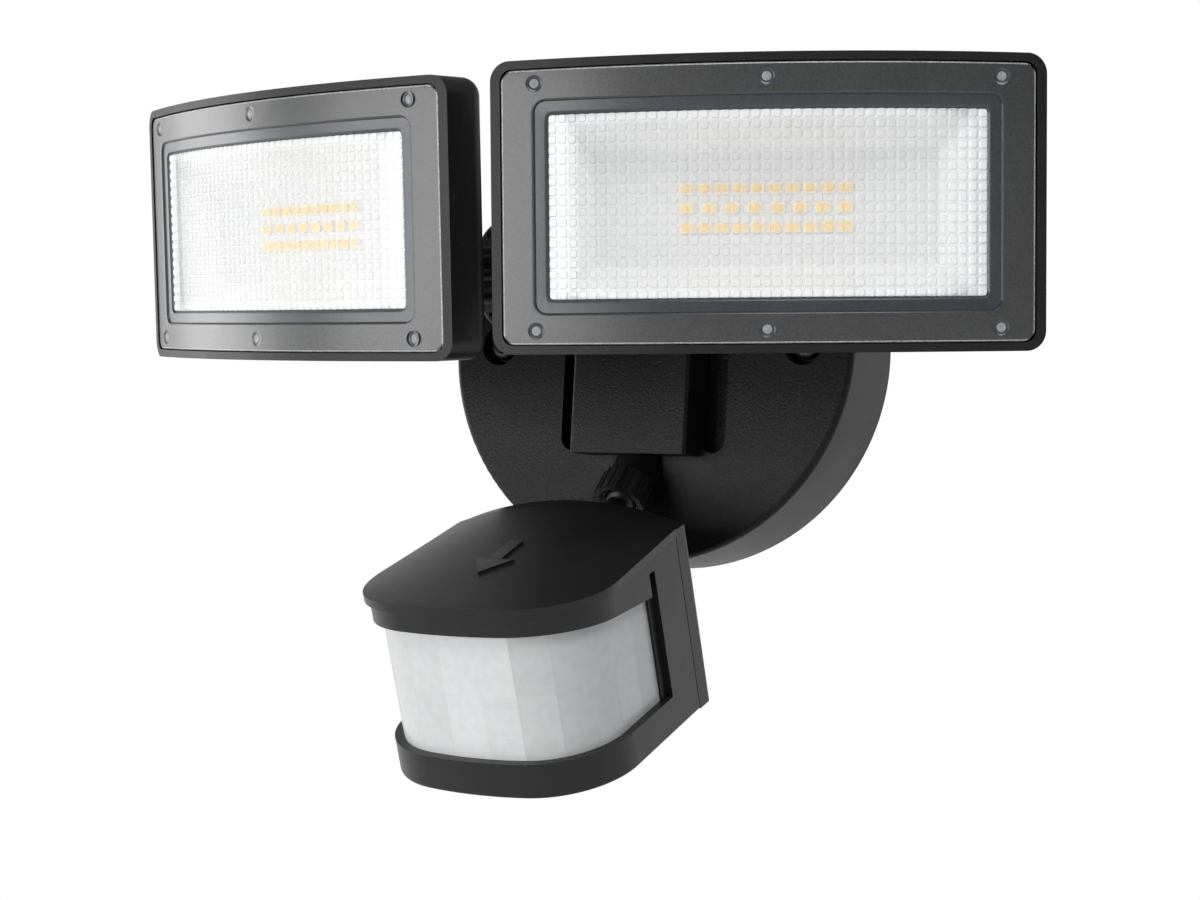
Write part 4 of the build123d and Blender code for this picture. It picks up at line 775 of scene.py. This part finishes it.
def sensor_lens():
    """Wrap-round lens, swept from an upright edge and cut into rows of slightly sunken facets."""
    front_r, front_y, corner, turn_x, turn_y, start, end, back = lens_path()
    low, high = -LIP_H - LENS_H - LENS_LAP, -LIP_H + LENS_LAP
    deselect()
    bpy.ops.mesh.primitive_plane_add(size=1, location=(0, front_y - front_r, (low + high) / 2))
    lens = bpy.context.object
    bpy.ops.object.transform_apply(location=True, rotation=True, scale=True)
    edit(lens)
    bpy.ops.mesh.merge(type="CENTER")
    bpy.ops.transform.translate(value=(0, 0, (low - high) / 2))
    bpy.ops.mesh.extrude_region_move(TRANSFORM_OT_translate={"value": (0, 0, high - low)})
    bpy.ops.mesh.select_all(action="SELECT")
    bpy.ops.mesh.spin(steps=FRONT_CUTS, angle=start, center=(0, front_y, 0), axis=(0, 0, -1))
    bpy.ops.mesh.spin(
        steps=CORNER_CUTS, angle=end - start, center=(turn_x, turn_y, 0), axis=(0, 0, -1)
    )
    side_x = turn_x + corner * math.sin(end)
    side_y = turn_y - corner * math.cos(end)
    tail_y = LENS_BACK + LENS_TUCK
    tail_x = side_x + (back - side_x) * (tail_y - side_y) / (0 - side_y)
    part_x, part_y = (tail_x - side_x) / SIDE_CUTS, (tail_y - side_y) / SIDE_CUTS
    for _ in range(SIDE_CUTS):
        bpy.ops.mesh.extrude_region_move(TRANSFORM_OT_translate={"value": (part_x, part_y, 0)})
    done()
    edit(lens)
    seams = [low + (high - low) * share for share in LENS_SEAMS]
    for seam in seams:
        bpy.ops.mesh.select_all(action="SELECT")
        bpy.ops.mesh.bisect(plane_co=(0, 0, seam), plane_no=(0, 0, 1))
    bpy.ops.mesh.select_all(action="SELECT")
    slope = LIP_DROP / SENSOR_DEPTH
    bpy.ops.mesh.bisect(plane_co=(0, -SENSOR_DEPTH, high), plane_no=(0, slope, 1), clear_outer=True)
    done()
    mirror = lens.modifiers.new("other_half", "MIRROR")
    mirror.merge_threshold = 0.001
    apply_all(lens)
    face_towards(lens, (0, -1, 0))

    def panel_of(face):
        """Column, counted from the middle, and row of the panel that a face is in."""
        across = math.copysign(run_along(face.center.x, face.center.y), face.center.x)
        return round(across / PANEL_W), sum(face.center.z > seam for seam in seams)

    # The front columns take painted light and shade, the others a darker painted shade of random depth, and
    # each panel a small random spread.
    chance = random.Random(11)
    columns = {column: chance.uniform(*OTHER_PANEL_SHADE_RANGE) for column in range(-14, 15)}
    columns.update(FRONT_PANEL_LIGHT_AND_SHADE)
    tones = {
        panel: columns[panel[0]] + PANEL_TONE_SPREAD * chance.uniform(-1, 1)
        for panel in sorted({panel_of(face) for face in lens.data.polygons})
    }
    mark_faces(lens, "panel_tone", lambda face: tones[panel_of(face)])
    mark_faces(lens, "panel_number", lambda face: sorted(tones).index(panel_of(face)))
    for number in range(len(tones)):
        held = [mark.value for mark in lens.data.attributes["panel_number"].data]
        pick(lens, lambda face: held[face.index] == number)
        bpy.ops.mesh.inset(thickness=PANEL_RIM, depth=-PANEL_SINK)
        done()
    thicken_inwards(lens, LENS_T - LENS_PLAY)
    settle(lens, "sensor_lens_skin", SENSOR, milky, "sensor", ["pir_lens"], smooth=28)


sensor_lens()


def hood_top(x, y):
    """Height of the hood's crowned top in the sensor's frame."""
    share = -y / SENSOR_DEPTH
    heights = []
    for middle, crown in ((HOOD_RISE, CROWN_BACK), (0.0, CROWN_FRONT)):
        radius = (SENSOR_HALF_W ** 2 + crown ** 2) / (2 * crown)
        heights.append(middle - radius + math.sqrt(radius * radius - x * x))
    return heights[0] + (heights[1] - heights[0]) * share


def hood_arrow():
    """Plain raised arrow on the hood, pointing at the lens."""
    (shaft_w, shaft_l), (point_w, point_l) = ARROW_SHAFT, ARROW_POINT
    deselect()
    bpy.ops.mesh.primitive_plane_add(size=1, location=(0, shaft_l / 2, 0))
    arrow = bpy.context.object
    arrow.scale = (shaft_w, shaft_l, 1)
    bpy.ops.object.transform_apply(location=True, rotation=True, scale=True)
    edit(arrow, "DESELECT")
    done()
    for vertex in arrow.data.vertices:
        vertex.select = vertex.co.y < 0.01
    bpy.ops.object.mode_set(mode="EDIT")
    bpy.ops.mesh.select_mode(type="EDGE")
    bpy.ops.mesh.extrude_region_move(TRANSFORM_OT_translate={"value": (0, -0.01, 0)})
    bpy.ops.transform.resize(value=(point_w / shaft_w, 1, 1))
    bpy.ops.mesh.extrude_region_move(TRANSFORM_OT_translate={"value": (0, -point_l, 0)})
    bpy.ops.mesh.merge(type="CENTER")
    bpy.ops.mesh.select_all(action="SELECT")
    bpy.ops.mesh.subdivide(number_cuts=3)
    done()
    for vertex in arrow.data.vertices:
        vertex.co.y += ARROW_Y
        vertex.co.z = hood_top(vertex.co.x, vertex.co.y) - ARROW_ROOT
    face_towards(arrow, (0, 0, 1))
    raised = arrow.modifiers.new("raised", "SOLIDIFY")
    raised.thickness = ARROW_ROOT + ARROW_PROUD
    raised.offset = 1
    soft = arrow.modifiers.new("soft_edge", "BEVEL")
    soft.width = ARROW_ROUNDING
    soft.segments = 2
    soft.limit_method = "ANGLE"
    soft.angle_limit = math.radians(50)
    apply_all(arrow)
    settle(arrow, "hood_arrow", SENSOR, polished_black, "sensor", smooth=20)


hood_arrow()


# ---------------------------------------------------------------- skins on the solids
OWN_FINISH = {
    "right_housing": head_black, "left_housing": head_black, "driver": driver_case,
    "sensor_ball_seat": nylon,
}
SKINNED = [
    "canopy_housing", "canopy_gasket", "mounting_crossbar", "canopy_screws", "driver", "sensor_housing",
    "sensor_back_cover", "sensor_lock_nut", "sensor_stem", "stem_nut", "sensor_ball_seat", "lens_retainer",
    "time_knob", "light_knob", "range_knob", "sensor_cover_screws", "driver_screws", "ground_screw",
]
SKINNED_TWICE = ("housing", "lock_ring", "arm", "bezel", "pivot_bolt", "pivot_nut")
SKINNED += [f"{side}_{piece}" for side in ("right", "left") for piece in SKINNED_TWICE]
for node in SKINNED:
    dress(node, OWN_FINISH.get(node, NODE_FINISH[slot_of_node[node]]))

for node, shown in nodes.items():
    shown.data.materials.clear()
    shown.data.materials.append(NODE_FINISH[slot_of_node[node]])

# ---------------------------------------------------------------- stage, light and camera
deselect()
bpy.ops.mesh.primitive_plane_add(size=14, location=(0, 3.0, -0.45))
floor = bpy.context.object
floor.name = "floor"


def pale_material(name, colour):
    """A surface that is pale to light and white to camera, glass and mirror rays."""
    material = bpy.data.materials.new(name)
    material.use_nodes = True
    tree = material.node_tree
    shader = tree.nodes["Principled BSDF"]
    shader.inputs["Base Color"].default_value = (*colour, 1)
    shader.inputs["Roughness"].default_value = 0.9
    glow = node_in(tree, "Emission")
    path = node_in(tree, "LightPath")
    seen = maths(tree, "MAXIMUM", path.outputs["Is Camera Ray"], path.outputs["Is Transmission Ray"])
    bright = maths(tree, "MAXIMUM", seen, path.outputs["Is Glossy Ray"])
    mixed = node_in(tree, "MixShader")
    tree.links.new(bright, mixed.inputs["Fac"])
    tree.links.new(shader.outputs[0], mixed.inputs[1])
    tree.links.new(glow.outputs[0], mixed.inputs[2])
    tree.links.new(mixed.outputs[0], tree.nodes["Material Output"].inputs["Surface"])
    return material


floor.data.materials.append(pale_material("pale_floor", (0.8, 0.8, 0.8)))


def studio_world():
    """Soft light all round; white for camera and glass rays, and for mirror rays that go back and down."""
    world = bpy.data.worlds.new("studio")
    bpy.context.scene.world = world
    world.use_nodes = True
    sky = world.node_tree
    soft = sky.nodes["Background"]
    soft.inputs["Color"].default_value = (0.93, 0.96, 1.0, 1)
    soft.inputs["Strength"].default_value = 0.32
    white = node_in(sky, "Background")
    white.inputs["Color"].default_value = (1, 1, 1, 1)
    around = node_in(sky, "TexCoord")
    apart = node_in(sky, "SeparateXYZ")
    sky.links.new(around.outputs["Generated"], apart.inputs[0])
    behind = remap(sky, apart.outputs["Y"], (-0.35, 0.25))
    below = remap(sky, apart.outputs["Z"], (0.7, 0.15))
    backdrop = maths(sky, "MULTIPLY", behind, below)
    path = node_in(sky, "LightPath")
    seen = maths(sky, "MAXIMUM", path.outputs["Is Camera Ray"], path.outputs["Is Transmission Ray"])
    mirrored = maths(sky, "MULTIPLY", backdrop, path.outputs["Is Glossy Ray"])
    choice = node_in(sky, "MixShader")
    sky.links.new(maths(sky, "MAXIMUM", seen, mirrored), choice.inputs["Fac"])
    sky.links.new(soft.outputs[0], choice.inputs[1])
    sky.links.new(white.outputs[0], choice.inputs[2])
    sky.links.new(choice.outputs[0], sky.nodes["World Output"].inputs["Surface"])


def soft_box(name, at, aim, width, height, watts):
    """Rectangular lamp at a place, turned to another."""
    lamp = bpy.data.lights.new(name, "AREA")
    lamp.shape = "RECTANGLE"
    lamp.size = width
    lamp.size_y = height
    lamp.energy = watts
    lamp_object = bpy.data.objects.new(name, lamp)
    bpy.context.scene.collection.objects.link(lamp_object)
    lamp_object.location = at
    lamp_object.rotation_euler = (Vector(aim) - Vector(at)).to_track_quat("-Z", "Y").to_euler()


studio_world()
soft_box("key_soft_box", (-0.85, -1.62, -0.14), (0.0, -0.12, 0), 1.5, 0.75, 18.0)
soft_box("left_soft_box", (-1.75, -0.25, 0.0), (-0.08, -0.12, 0), 0.8, 1.0, 10.5)
soft_box("front_soft_box", (0.85, -1.5, 1.2), (0.05, -0.12, 0), 1.1, 0.8, 20.0)

# Camera fitted to the photo: place in metres, the way of its right side, and the way it looks.
CAMERA_AT = Vector((0.28265, -0.63997, -0.07677))
CAMERA_RIGHT = Vector((0.8979, 0.4373, 0.0503)).normalized()
CAMERA_AHEAD = Vector((-0.4398, 0.8958, 0.0637)).normalized()
camera_data = bpy.data.cameras.new("camera")
camera_data.lens = 63.38
camera_data.sensor_width = 36.0
camera_data.clip_start = 0.01
camera = bpy.data.objects.new("camera", camera_data)
bpy.context.scene.collection.objects.link(camera)
up = CAMERA_RIGHT.cross(CAMERA_AHEAD).normalized()
back = CAMERA_RIGHT.cross(up).normalized()
axes = Matrix((CAMERA_RIGHT, up, back)).transposed()
camera.matrix_world = Matrix.Translation(CAMERA_AT) @ axes.to_4x4()
bpy.context.scene.camera = camera
bpy.context.scene.view_settings.view_transform = "Standard"
